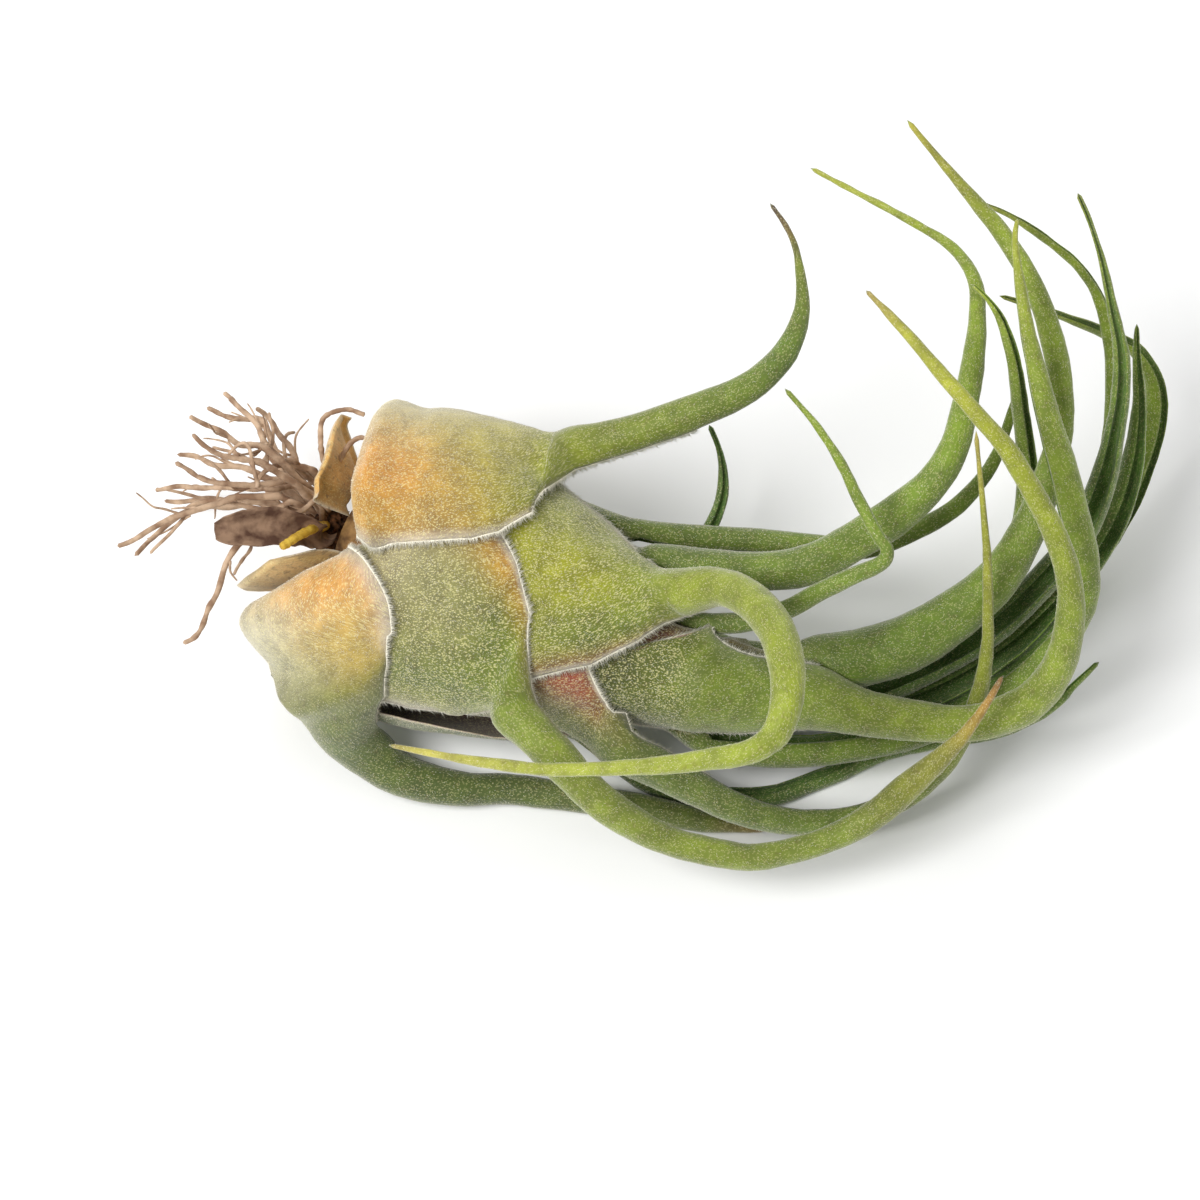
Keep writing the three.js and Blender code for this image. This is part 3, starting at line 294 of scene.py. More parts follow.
            [64.9, 8.9, 44, 2.12], [62.7, 14.1, 49, 1.76], [61, 19.5, 53, 1.4], [59.6, 24, 57, 1.05],
            [58.5, 29.7, 61, 0.7], [58.1, 33.4, 63, 0.42], [58.5, 36.4, 64, 0.32],
        ],
    },
    {
        "name": "leaf_upper_arched", "layer": 5, "azimuth": 75, "twist": 30,
        "sheath": [
            [0.3, 38, 38], [1.3, 40, 40], [2.1, 41, 41], [2.8, 42, 41], [3.4, 42, 41], [4.1, 42, 41],
            [5, 42, 40], [6, 40, 38], [7, 34, 34, 0.4], [7.6, 26, 26, 1.8, 5.5],
        ],
        "blade": [
            [8, 0.2, 29, 3.4, 115], [14.3, -1, 30.5, 3.1], [21.3, -2.4, 32.2, 2.84],
            [29.1, -2.5, 34, 2.91], [35.7, 0.1, 36, 2.83], [41.9, 3.5, 38, 2.83], [47, 7, 41, 2.4],
            [50.2, 11.4, 44, 2.12], [52, 18.2, 46, 1.84], [53.3, 24.9, 48, 1.56],
            [53.9, 31.4, 49, 1.21], [53.4, 36.2, 50, 1], [50.7, 41.1, 50, 0.79], [46.8, 44.4, 50, 0.65],
            [41.2, 48.3, 50, 0.51], [36.3, 52.2, 49, 0.44], [30.7, 56.7, 48, 0.32],
        ],
    },
    {
        "name": "leaf_tallest", "layer": 5, "azimuth": -12, "twist": 50,
        "sheath": [
            [0.3, 34, 34], [1.3, 36, 36], [2.1, 36, 36], [2.8, 36, 36], [3.4, 37, 37], [4.1, 38, 37],
            [5, 38, 38], [6, 40, 38], [7, 44, 40], [8, 50, 44], [8.7, 60, 54, 0, 4.8],
        ],
        "blade": [
            [22, -11.8, 19.6, 4, 96], [28.6, -10.6, 19.8, 4.3, 104], [35.7, -10.9, 21.7, 4.2, 112],
            [43.6, -9.5, 23.6, 4.15, 120], [50.8, -5.7, 25.6, 3.72, 130], [56.9, -1.6, 29, 3.14],
            [61.1, 4, 33, 2.57], [63.9, 10, 37, 2.14], [65.6, 15.9, 41, 1.85], [65.5, 21.7, 45, 1.78],
            [64, 27.6, 49, 1.71], [61.3, 33.5, 53, 1.42], [56.9, 39, 57, 1.28], [52.4, 42.5, 61, 0.92],
            [48, 45.7, 65, 0.56], [43.1, 49, 70, 0.32],
        ],
    },
    {
        "name": "leaf_right_low", "layer": 5, "azimuth": -178, "twist": 30,
        "sheath": [
            [0.3, 36, 36], [1.3, 38, 38], [2.1, 38, 38], [2.8, 38, 38], [3.4, 38, 38], [4.1, 38, 38],
            [5, 38, 38], [6, 38, 38], [7, 34, 34], [8, 26, 26, 0.2, 5],
        ],
        "blade": [
            [16, -9, 11, 2.5, 120], [26, -10.6, 7.6, 2.3], [37.8, -12.6, 8.6, 2.33],
            [48.1, -9.6, 9.6, 2.33], [58.4, -4.1, 12, 2.33], [65.6, 0.9, 17, 2.33],
            [71.3, 6.1, 21, 2.18], [75.3, 11.9, 25, 2.04], [77.5, 18.3, 29, 1.67],
            [78.2, 24.6, 34, 1.02], [77.6, 29.1, 39, 0.65], [77.4, 32.7, 43, 0.32],
        ],
    },
    {
        "name": "leaf_kinked", "layer": 6, "azimuth": 48, "twist": 60,
        "sheath": [
            [0.3, 30, 30], [1.3, 32, 32], [2.1, 32, 32], [2.8, 33, 33], [3.4, 34, 34], [4.1, 34, 34],
            [5, 34, 34], [6, 34, 34], [7, 30, 30], [8, 22, 22, 0.1, 4],
        ],
        "blade": [
            [11, -7.6, 27, 1.7, 120], [19.8, -9.6, 30.2, 1.5], [26.3, -9.6, 34, 1.41],
            [31.1, -8.9, 38, 1.33], [35.6, -8.1, 41, 1.26], [39.2, -7.6, 43.5, 1.11],
            [39.9, -6.4, 45, 0.97], [38.5, -4.3, 46, 0.9], [36, 0.8, 47, 0.84], [33.3, 6.9, 48, 0.7],
            [29.9, 12.3, 49, 0.49], [26, 17.1, 50, 0.32],
        ],
    },
    {
        "name": "leaf_right_tall", "layer": 6, "azimuth": -160, "twist": 20,
        "sheath": [
            [0.3, 36, 36], [1.3, 38, 38], [2.1, 38, 38], [2.8, 38, 38], [3.4, 38, 38], [4.1, 38, 38],
            [5, 38, 38], [6, 38, 38], [7, 34, 34], [8, 26, 26, 0.1, 4],
        ],
        "blade": [
            [18, -14, 15.4, 2.2, 110], [28, -15, 13.6, 2.3], [37.7, -12.4, 14, 2.5],
            [47.9, -8, 15, 2.5], [56.5, -3.9, 18, 2.4], [63.7, 1.4, 22.4, 2.3], [69.3, 6.8, 27, 2.17],
            [72.5, 13, 32, 2.02], [74, 18.4, 37, 1.51], [74.7, 22.6, 41, 1.36], [74.5, 26.8, 45, 1.14],
            [73.1, 31.9, 49, 0.79], [71.6, 36.9, 53, 0.5], [69.7, 40.7, 57, 0.36],
            [67.8, 43.6, 60, 0.32],
        ],
    },
    {
        "name": "leaf_right_inner", "layer": 7, "azimuth": 124,
        "sheath": [
            [0.3, 32, 32], [1.3, 36, 36], [2.1, 38, 38], [2.8, 38, 38], [3.4, 38, 38], [4.1, 38, 38],
            [5, 38, 38], [6, 38, 38], [7, 34, 34], [8, 26, 26, 0.1, 3],
        ],
        "blade": [
            [16, -6.5, 16.5, 2, 110], [25, -7.5, 14, 2], [36, -6, 15, 2.05], [46, -3.4, 16.6, 2.05],
            [52.1, -1.3, 19.4, 2.03], [57.6, 2.3, 23.8, 1.87], [60.9, 7.8, 26.6, 1.72],
            [61.8, 14, 30.6, 1.57], [61, 18, 36, 1.35], [59.7, 19.8, 43.5, 1.2], [58.5, 21.9, 50, 0.99],
            [56.8, 26.3, 53, 0.71], [54.8, 28.7, 55, 0.42], [52.5, 30.7, 56, 0.32],
        ],
    },
]

# Remains of older sheaths, broken off short, outside the two outermost leaves.
oldSheaths = [
    {
        "name": "old_sheath_upper", "layer": 0, "azimuth": 50,
        "rowLayers": [-1.4, -2.3, -3, -3.4, -3.2],
        "sheath": [[0.7, 30, 28], [1.1, 34, 30], [1.5, 37, 32], [1.9, 38, 31], [2.2, 36, 30]],
        "blade": [],
    },
    {
        "name": "old_sheath_lower", "layer": 0, "azimuth": -42,
        "rowLayers": [-0.6, -1.2, -1.9, -2.5],
        "sheath": [[0.6, 30, 26], [1, 34, 28], [1.4, 36, 26], [1.7, 30, 18]],
        "blade": [],
    },
]


def unit(vectors):
    return vectors / np.maximum(np.linalg.norm(vectors, axis=-1, keepdims=True), 1e-9)


def dot(a, b):
    return (a * b).sum(-1)


bulbAxis = unit(bulbHeading)
bulbFront = unit(frontHint - dot(frontHint, bulbAxis) * bulbAxis)
bulbSide = unit(np.cross(bulbFront, bulbAxis))


def toFrame(points):
    return (np.asarray(points) + setDown) * metresPerMm


# A smooth curve through rows of values, at places counted in rows.
def smooth(values, places):
    values = np.asarray(values, float)
    last = len(values) - 1
    places = np.clip(np.atleast_1d(places).astype(float), 0, last)
    i = np.minimum(places.astype(int), last - 1)
    f = places - i
    f = f.reshape(f.shape + (1,) * (values.ndim - 1))
    a, b = values[np.maximum(i - 1, 0)], values[i]
    c, d = values[i + 1], values[np.minimum(i + 2, last)]
    square = 2 * a - 5 * b + 4 * c - d
    cube = 3 * b - a - 3 * c + d
    return 0.5 * (2 * b + (c - a) * f + square * f ** 2 + cube * f ** 3)


def smoothStep(value):
    value = np.clip(value, 0, 1)
    return value * value * (3 - 2 * value)


outlinePlaces = np.linspace(0, len(outerOutline) - 1, outlineSamples)
denseOuter = smooth(outerOutline, outlinePlaces)
denseInner = smooth(innerOutline, outlinePlaces)


def rimHeight(index, azimuth):
    window = np.maximum(0, 1 - ((index - rimIndex) / rimReach) ** 2) ** 2
    wave = np.radians(azimuth - rimAzimuth)
    return -(rimShift + rimTilt * np.cos(wave) + rimSaddle * np.cos(2 * wave)) * window


# Distance along the axis and radius of a layer's surface.
def layerPoint(index, azimuth, layer):
    share = layer / innerLayer
    place = []
    for k in range(2):
        outer = np.interp(index, outlinePlaces, denseOuter[:, k])
        inner = np.interp(index, outlinePlaces, denseInner[:, k])
        place.append(outer + share * (inner - outer))
    return place[0] + rimHeight(index, azimuth), place[1]


# Radius of a layer's surface at a distance along the axis, or 0 beyond its ends.
def layerRadius(along, azimuth, layer):
    along, azimuth, layer = np.broadcast_arrays(along, azimuth, layer)
    low = np.full(along.shape, float(shoulderIndex))
    high = np.full(along.shape, float(len(outerOutline) - 1))
    reached = layerPoint(low, azimuth, layer)[0] <= along
    reached &= along <= layerPoint(high, azimuth, layer)[0]
    for _ in range(searchPasses):
        middle = 0.5 * (low + high)
        below = layerPoint(middle, azimuth, layer)[0] < along
        low = np.where(below, middle, low)
        high = np.where(below, high, middle)
    return np.where(reached, layerPoint(low, azimuth, layer)[1], 0.0)


def placeOnBulb(along, azimuth, radius):
    angle = np.radians(azimuth)[..., None]
    radial = np.cos(angle) * bulbFront + np.sin(angle) * bulbSide
    return bulbFoot + np.asarray(along)[..., None] * bulbAxis + np.asarray(radius)[..., None] * radial


def bulbPlace(points):
    offset = points - bulbFoot
    along = dot(offset, bulbAxis)
    across = offset - along[..., None] * bulbAxis
    azimuth = np.degrees(np.arctan2(dot(across, bulbSide), dot(across, bulbFront)))
    return along, azimuth, np.linalg.norm(across, axis=-1)


def turnAbout(vector, axis, angle):
    return (
        vector * np.cos(angle) + np.cross(axis, vector) * np.sin(angle)
        + axis * dot(axis, vector) * (1 - np.cos(angle))
    )


# Stations of one leaf as arrays: where its midrib runs, how it faces, and how it is curled.
def leafStations(leaf):
    stations = []
    count = len(leaf["sheath"])
    none = [0] * count
    azimuth = leaf["azimuth"]
    for k, row in enumerate(leaf["sheath"]):
        index, lower, upper, rise, radius = (list(row) + [0, 0])[:5]
        layer = leaf.get("rowLayers", [])[k:k + 1] or [leaf["layer"]]
        along, surface = layerPoint(index, azimuth, leaf["layer"])
        outward = unit(placeOnBulb(0.0, azimuth, 1.0) - bulbFoot)
        stations.append({
            "index": index, "layer": layer[0], "wing": 1.0,
            "midrib": placeOnBulb(along, azimuth, surface + rise),
            "outward": outward, "sideways": np.cross(outward, bulbAxis),
            "logRadius": np.log(radius or surface),
            "widths": np.radians([lower, upper]) * surface, "wraps": [lower, upper],
            "slides": [(leaf.get("lowerSlide", []) + none)[k], (leaf.get("upperSlide", []) + none)[k]],
            "leads": [(leaf.get("lowerLead", []) + none)[k], (leaf.get("upperLead", []) + none)[k]],
        })
    centres = np.array([row[:3] for row in leaf["blade"]])
    outward = np.array(leaf.get("bladeOutward", stations[-1]["outward"]), float)
    for i, row in enumerate(leaf["blade"]):
        heading = unit(centres[min(i + 1, len(centres) - 1)] - centres[max(i - 1, 0)])
        outward = unit(outward - dot(outward, heading) * heading)
        twist = np.radians(leaf.get("twist", 0)) * min(1, i / twistedRows)
        turned = turnAbout(outward, heading, twist)
        radius = row[3]
        curl = row[4] if len(row) > 4 else bladeCurl
        stations.append({
            "index": rimIndex + rimReach, "layer": leaf["layer"], "wing": 0.0,
            "midrib": centres[i] + radius * turned,
            "outward": turned, "sideways": np.cross(turned, heading),
            "logRadius": np.log(radius),
            "widths": np.radians([curl, curl]) * radius, "wraps": stations[count - 1]["wraps"],
            "slides": [0, 0], "leads": [0, 0],
        })
    return {key: np.array([station[key] for station in stations], float) for key in stations[0]}


def arcPoint(rows, angle):
    return (
        rows["midrib"][:, None]
        - (rows["radius"][:, None] * (1 - np.cos(angle)))[..., None] * rows["outward"][:, None]
        + (rows["radius"][:, None] * np.sin(angle))[..., None] * rows["sideways"][:, None]
    )


# Evens out a row of numbers, so that a margin runs smoothly from row to row.
def evened(values, passes=4):
    for _ in range(passes):
        padded = np.concatenate([values[:1], values, values[-1:]])
        values = 0.25 * padded[:-2] + 0.5 * padded[1:-1] + 0.25 * padded[2:]
    return values


# The angle where each row's curled part meets its own layer of the bulb, to one side.
def meetingAngles(rows, side, layer):
    width = rows["widths"][:, (side + 1) // 2]
    wanted = np.minimum(width / rows["radius"], np.radians(widestCurl))
    steps = np.linspace(0, 1, curlSteps + 1)[1:]
    angles = wanted[:, None] * steps
    along, azimuth, radius = bulbPlace(arcPoint(rows, side * angles))
    inside = radius < layerRadius(along, azimuth, layer) - sunkDepth
    first = np.where(inside.any(1), inside.argmax(1), curlSteps)
    met = wanted * first / curlSteps
    least = np.minimum(wanted, np.radians(leastCurl)) * (1 - rows["wing"])
    return evened(np.maximum(met, least)), width


# Draws one margin of a leaf to a line on the bulb, given as row, azimuth and distance along.
def drawMargin(leaf, table, side, places, shares, along, azimuth, radius):
    table = np.array(table, float)
    first, last = table[0, 0], table[-1, 0]
    hold = np.interp(places, [first - marginFade, first, last, last + marginFade], [0, 1, 1, 0])
    reach = np.clip(-shares if side == 0 else shares, 0, 1)
    pull = smoothStep(hold)[:, None] * reach
    wantedAzimuth = np.interp(places, table[:, 0], table[:, 1])
    wantedAlong = np.interp(places, table[:, 0], table[:, 2])
    surface = layerRadius(wantedAlong, wantedAzimuth, leaf["layer"] + marginPress)
    surface = np.where(surface > 0, surface, radius[:, side])
    along = along + pull * (wantedAlong - along[:, side])[:, None]
    azimuth = azimuth + pull * (wantedAzimuth - azimuth[:, side])[:, None]
    radius = radius + pull * (surface - radius[:, side])[:, None]
    return along, azimuth, radius


# Points of a leaf's outer surface, by row and share of the width from margin to margin.
def outerSurface(leaf):
    stations = leafStations(leaf)
    count = len(stations["index"])
    places = np.linspace(0, count - 1, (count - 1) * rowsPerStation + 1)
    rows = {key: smooth(values, places) for key, values in stations.items()}
    rows["radius"] = np.exp(rows["logRadius"])
    rows["wing"] = np.clip(rows["wing"], 0, 1)
    rows["outward"] = unit(rows["outward"])
    rows["sideways"] = unit(rows["sideways"])
    shares = np.linspace(-1, 1, columnsAcross + 1)
    reach = np.abs(shares)
    side = np.where(shares < 0, 0, 1)
    press = marginPress * smoothStep((reach - marginPressFrom) / (1 - marginPressFrom))

    # On the foot a row follows the bulb's outline and its uneven rim.
    slid = rows["index"][:, None] + rows["slides"][:, side] * shares ** 2
    footAzimuth = leaf["azimuth"] + shares * rows["wraps"][:, side]
    footLayer = rows["layer"][:, None] + press
    along, radius = layerPoint(slid, footAzimuth, footLayer)
    footPoints = placeOnBulb(along, footAzimuth, radius)
    if not leaf["blade"]:
        return {"places": places, "shares": shares, "outer": footPoints, "radius": rows["radius"]}

    # Further on it is curled about its midrib, with wings that lie on the bulb.
    curled = np.empty_like(footPoints)
    seated = np.zeros(curled.shape[:2], bool)
    for sign in (-1, 1):
        met, width = meetingAngles(rows, sign, leaf["layer"])
        wing = np.maximum(0, width - met * rows["radius"]) * rows["wing"]
        chosen = np.nonzero(shares * sign >= 0)[0]
        distance = reach[chosen] * (met * rows["radius"] + wing)[:, None]
        angle = distance / rows["radius"][:, None]
        onArc = arcPoint(rows, sign * np.minimum(angle, met[:, None]))
        foot = bulbPlace(arcPoint(rows, sign * met[:, None]))
        beyond = np.maximum(0, distance - (met * rows["radius"])[:, None])
        azimuth = foot[1] + sign * np.degrees(beyond / np.maximum(foot[2], 1))
        onWing = placeOnBulb(np.broadcast_to(foot[0], azimuth.shape), azimuth, foot[2])
        seated[:, chosen] = beyond > 0
        curled[:, chosen] = np.where((beyond > 0)[..., None], onWing, onArc)
    along, azimuth, radius = bulbPlace(curled)
    along += rimHeight(rows["index"][:, None], azimuth) - rimHeight(rows["index"], leaf["azimuth"])[:, None]
    along += rows["leads"][:, side] * reach ** 2

    for side, table in ((0, leaf.get("lowerMargin")), (-1, leaf.get("upperMargin"))):
        if table:
            along, azimuth, radius = drawMargin(leaf, table, side, places, shares, along, azimuth, radius)

    # Wings lie on the leaf's own layer, and near the neck nothing sinks below it.
    neck = len(leaf["sheath"]) - 1
    hold = np.clip(1 - (places - neck) / neckReach, 0, 1)[:, None]
    surface = layerRadius(along, azimuth, leaf["layer"] + press)
    held = radius + hold * np.maximum(0, surface - radius)
    radius = np.where(seated & (surface > 0), surface, held)
    curled = placeOnBulb(along, azimuth, radius)
    blend = smoothStep((rows["index"] - rimRowsFrom) / (rimRowsTo - rimRowsFrom))
    outer = footPoints + blend[:, None, None] * (curled - footPoints)
    return {"places": places, "shares": shares, "outer": outer, "radius": rows["radius"]}


def surfaceNormals(points):
    forward = np.gradient(points, axis=0)
    sideways = np.gradient(points, axis=1, edge_order=2)
    return unit(np.cross(forward, sideways))


def linear(hexColour):
    channels = np.array([int(hexColour[k:k + 2], 16) / 255 for k in (1, 3, 5)])
    return np.where(channels <= 0.04045, channels / 12.92, ((channels + 0.055) / 1.055) ** 2.4)


# Colours of the leaves: stops from the foot to the tip by row, then patches as row, share of
# the width, reach in rows, reach in shares, colour and strength, then the band at the margin.
paints = {
    "leaf_upper_left": {
        "stops": [
            (0, "#cfa558"), (3, "#c9a04a"), (5, "#b89a38"), (7, "#9c9220"), (9, "#80860f"),
            (11, "#6d7a12"), (14, "#5c7418"), (16, "#707c18"), (17, "#6b5a2a"), (18, "#3a2a22"),
        ],
        "patches": [
            (4, -0.62, 2.2, 0.3, "#c8821f", 0.85), (6, -0.85, 1.6, 0.16, "#a9813f", 0.6),
            (4.5, 0.15, 3.0, 0.45, "#d9cf9a", 0.75), (6.5, -0.3, 1.5, 0.3, "#a39a2c", 0.5),
        ],
        "edge": "#8a5f42",
    },
    "leaf_lower_left": {
        "stops": [
            (0, "#c39a4a"), (2, "#c9a558"), (3, "#bda468"), (4, "#a89a5c"), (5, "#858238"),
            (6, "#6a7022"), (8, "#4c5c16"), (12, "#445412"), (15, "#5c6a1a"), (16, "#8a6b3a"),
        ],
        "patches": [
            (3, 0.8, 1.5, 0.3, "#d9952f", 0.9), (4, 0.3, 1.3, 0.35, "#cbc5aa", 0.8),
            (5, 0.8, 1.1, 0.25, "#b9983a", 0.7), (4.5, -0.4, 1.5, 0.5, "#b0a585", 0.6),
        ],
        "edge": "#c39a7c",
    },
    "leaf_front": {
        "stops": [
            (0, "#b3a05a"), (3, "#aaa264"), (5, "#858048"), (6, "#6f701c"), (8, "#606c0c"), (10, "#6f8014"),
            (13, "#78861c"), (20, "#6f7f1a"), (23, "#858420"), (25, "#a8802e"), (26, "#6b4a25"),
        ],
        "patches": [
            (6.8, -0.1, 1.6, 0.35, "#566604", 0.85), (7.2, 0.92, 2.0, 0.2, "#bd8c1c", 0.95),
            (5.6, 0.65, 1.1, 0.55, "#a89a74", 0.9), (6.8, 0.4, 1.0, 0.3, "#88864c", 0.6),
            (5.5, -0.95, 2.0, 0.25, "#b5aa92", 0.75),
        ],
        "edge": "#7a4f45",
    },
    "leaf_looping": {
        "stops": [
            (0, "#a39a4c"), (4, "#8a8640"), (6, "#7d8038"), (7, "#80820f"), (8, "#868a04"), (10, "#788512"),
            (12, "#84901a"), (18, "#8c9a20"), (22, "#98a02a"), (24, "#b8b04a"), (25, "#9a8a45"),
        ],
        "patches": [
            (7.5, -0.15, 1.6, 0.35, "#949400", 0.8), (9, -0.7, 1.3, 0.3, "#50620a", 0.7),
            (6.2, -0.6, 1.2, 0.3, "#96966a", 0.6), (8.6, -0.95, 1.6, 0.14, "#8a6238", 0.8),
            (6.8, 0.65, 1.8, 0.4, "#858a58", 0.7),
        ],
        "edge": "#6b4038",
    },
    "leaf_front_low": {
        "stops": [
            (0, "#8a7a35"), (5, "#6b6a18"), (7, "#626010"), (9, "#5a6418"), (11, "#5c6e20"),
            (16, "#5c7018"), (21, "#828a18"), (24, "#989a24"), (25, "#b0a04a"),
        ],
        "patches": [(8.5, 0.8, 1.6, 0.3, "#a3402e", 0.9), (7, 0.4, 1.2, 0.4, "#8a8a1c", 0.5)],
        "edge": "#6b3a34",
    },
    "leaf_long_front": {
        "stops": [
            (0, "#7a8430"), (4, "#5a6208"), (7, "#4a5000"), (9, "#484e00"), (10, "#5a6602"), (12, "#667a0c"),
            (15, "#758516"), (20, "#7b8c14"), (24, "#949c18"), (27, "#a8aa30"), (29, "#a08a4a"),
        ],
        "patches": [(9, 0.9, 1.5, 0.2, "#8a8a72", 0.5), (8, -0.6, 2.0, 0.3, "#3c4c00", 0.6)],
        "edge": "#6f4a48",
    },
    "leaf_tallest": {
        "stops": [
            (0, "#b89a58"), (4, "#8a8a3a"), (8, "#4a6406"), (13, "#5c760e"), (19, "#728814"),
            (23, "#82941e"), (26, "#a8a038"),
        ],
        "patches": [(8.5, 0.6, 2.5, 0.5, "#8a4a44", 0.9)],
        "edge": "#6a5a3a",
    },
    "old_sheath_upper": {
        "stops": [(0, "#b08440"), (1.5, "#cf9d4c"), (3, "#d9a95a")],
        "patches": [(3, 0.2, 1.0, 0.5, "#e0b87c", 0.7)],
        "edge": "#b98a5a",
    },
    "old_sheath_lower": {
        "stops": [(0, "#b08a4a"), (1.5, "#c3a263"), (3, "#c9b184")],
        "patches": [(3, 0.4, 1.0, 0.5, "#cfae70", 0.7)],
        "edge": "#a38a6a",
    },
}
plainPaint = {
    "stops": [
        (0, "#b89a58"), (3, "#a08f48"), (6, "#58680f"), (10, "#566a0c"), (16, "#6b8412"),
        (22, "#83961a"), (26, "#a0a430"),
    ],
    "patches": [],
    "edge": "#6a4f3a",
}
# Painted shade: a darker copy of the plain colours, for the leaves that lie underneath and at the back of
# the bulb.
shadedPaint = {
    "stops": [
        (0, "#b89a58"), (3, "#9a8a44"), (6, "#3e5606"), (12, "#446008"), (18, "#5a7610"),
        (23, "#7a8c1c"), (26, "#9a9040"),
    ],
    "patches": [],
    "edge": "#5a4030",
}
shadedLeaves = ("leaf_right_low", "leaf_right_tall", "leaf_back_short", "leaf_under_long")

# Bands at the sheaths' margins start at these shares of the width. The lining is the inner
# side, maroon in a sheath and green in a blade's channel. Frost is how much scales show.
margins = {
    "bandFrom": 0.9, "bandWidth": 0.07, "band": 0.75,
    "paleFrom": 0.97, "pale": 0.8, "paleColour": "#ddd2bd",
}
lining = {"channel": "#4a741c", "sheath": "#7a4038", "share": 0.65}
bladeFrost = 0.45
reliefForm = {"dent": 0.5, "dentSize": 9.0, "wrinkle": 0.12, "wrinkleSize": 2.4}
weldDistance = 1e-6


def paintOf(leaf):
    if leaf["name"] in paints:
        return paints[leaf["name"]]
    # Leaves in the shaded list take the darker copy, which is painted shade.
    return shadedPaint if leaf["name"] in shadedLeaves else plainPaint


# Colour of a leaf's outer surface, by row and share of the width.
def outerTint(leaf, surface):
    paint = paintOf(leaf)
    places, shares = surface["places"], surface["shares"]
    stops = [stop[0] for stop in paint["stops"]]
    colours = np.array([linear(stop[1]) for stop in paint["stops"]])
    along = np.stack([np.interp(places, stops, colours[:, k]) for k in range(3)], -1)
    tint = np.repeat(along[:, None], len(shares), 1)
    for row, share, reachRows, reachShare, patch, strength in paint["patches"]:
        far = ((places[:, None] - row) / reachRows) ** 2 + ((shares - share) / reachShare) ** 2
        weight = (strength * np.exp(-far))[..., None]
        tint += weight * (linear(patch) - tint)
    onSheath = 1 - smoothStep(places - len(leaf["sheath"]) + 1)
    band = smoothStep((np.abs(shares) - margins["bandFrom"]) / margins["bandWidth"]) * onSheath[:, None]
    tint += margins["band"] * band[..., None] * (linear(paint["edge"]) - tint)
    paleFrom = margins["paleFrom"]
    pale = smoothStep((np.abs(shares) - paleFrom) / (1 - paleFrom)) * onSheath[:, None]
    return tint + margins["pale"] * pale[..., None] * (linear(margins["paleColour"]) - tint), onSheath


# Low dents and fine lengthwise wrinkles of a surface, in millimetres outwards.
def relief(points, onSheath, seed):
    dents = np.zeros(points.shape[:2])
    for r in range(points.shape[0]):
        for c in range(points.shape[1]):
            spot = Vector(points[r, c]) + Vector((seed, 0, 0))
            low = reliefForm["dent"] * onSheath[r] * noise.noise(spot / reliefForm["dentSize"])
            dents[r, c] = low + reliefForm["wrinkle"] * noise.noise(spot / reliefForm["wrinkleSize"])
    return dents


# Fills a sheet of squares, wrapped round, with the given rings of points.
def addRings(mesh, rings, layers=()):
    rowCount, ringCount = rings.shape[:2]
    made = bmesh.ops.create_grid(mesh, x_segments=rowCount - 1, y_segments=ringCount, size=1)["verts"]
    for vertex in made:
        row = round((vertex.co.x + 1) / 2 * (rowCount - 1))
        column = round((vertex.co.y + 1) / 2 * ringCount) % ringCount
        vertex.co = toFrame(rings[row, column])
        for layer, values in layers:
            vertex[layer] = tuple(values[row, column])


def finishMesh(name, mesh, material):
    bmesh.ops.remove_doubles(mesh, verts=mesh.verts, dist=weldDistance)
    bmesh.ops.recalc_face_normals(mesh, faces=mesh.faces)
    for face in mesh.faces:
        face.smooth = True
    data = bpy.data.meshes.new(name)
    mesh.to_mesh(data)
    mesh.free()
    data.materials.append(material)
    piece = bpy.data.objects.new(name, data)
    bpy.context.scene.collection.objects.link(piece)
    return piece


# A leaf as one closed wall, thinner at its margins, with its colours and the millimetres along
# and across it as attributes.
def makeLeaf(leaf, material, seed):
    surface = outerSurface(leaf)
    tint, onSheath = outerTint(leaf, surface)
    outer = surface["outer"]
    normals = surfaceNormals(outer)
    outer = outer + normals * relief(outer, onSheath, seed)[..., None]
    bladeWall = np.minimum(bladeThickness, thickestShare * surface["radius"])
    wall = onSheath * sheathThickness + (1 - onSheath) * bladeWall
    thinned = smoothStep((np.abs(surface["shares"]) - 0.5) / 0.5)
    thickness = wall[:, None] * (1 - thinned) + np.minimum(wall, marginThickness)[:, None] * thinned
    inner = outer - normals * thickness[..., None]
    outer[..., 2] = np.maximum(outer[..., 2], restHeight)
    inner[..., 2] = np.maximum(inner[..., 2], restHeight + pressedThickness)
    inner[0] = outer[0]
    if leaf["blade"]:
        inner[-1] = outer[-1] = outer[-1].mean(0)
    else:
        inner[-1] = outer[-1]
    inside = onSheath[:, None, None] * linear(lining["sheath"])
    inside = inside + (1 - onSheath)[:, None, None] * linear(lining["channel"])
    innerTint = tint + (lining["share"] if leaf["blade"] else 0.0) * (inside - tint)
    width = np.linalg.norm(np.diff(outer, axis=1), axis=-1)
    across = np.concatenate([np.zeros((len(outer), 1)), width.cumsum(1)], 1)
    length = np.linalg.norm(np.diff(outer[:, columnsAcross // 2], axis=0), axis=-1)
    along = np.concatenate([[0], length.cumsum()])
    grain = np.stack([across, np.repeat(along[:, None], across.shape[1], 1), np.zeros_like(across)], -1)
    rings = np.concatenate([outer, inner[:, ::-1]], 1)
    frost = np.repeat((bladeFrost + (1 - bladeFrost) * onSheath)[:, None], rings.shape[1], 1)
    colours = np.concatenate([np.concatenate([tint, innerTint[:, ::-1]], 1), frost[..., None]], -1)
    mesh = bmesh.new()
    tintLayer = mesh.verts.layers.float_color.new("tint")
    grainLayer = mesh.verts.layers.float_vector.new("grain")
    addRings(mesh, rings, [(tintLayer, colours), (grainLayer, np.concatenate([grain, grain[:, ::-1]], 1))])
    surface.update(outer=outer, inner=inner, normals=normals, onSheath=onSheath)
    return finishMesh(leaf["name"] + "_skin", mesh, material), surface


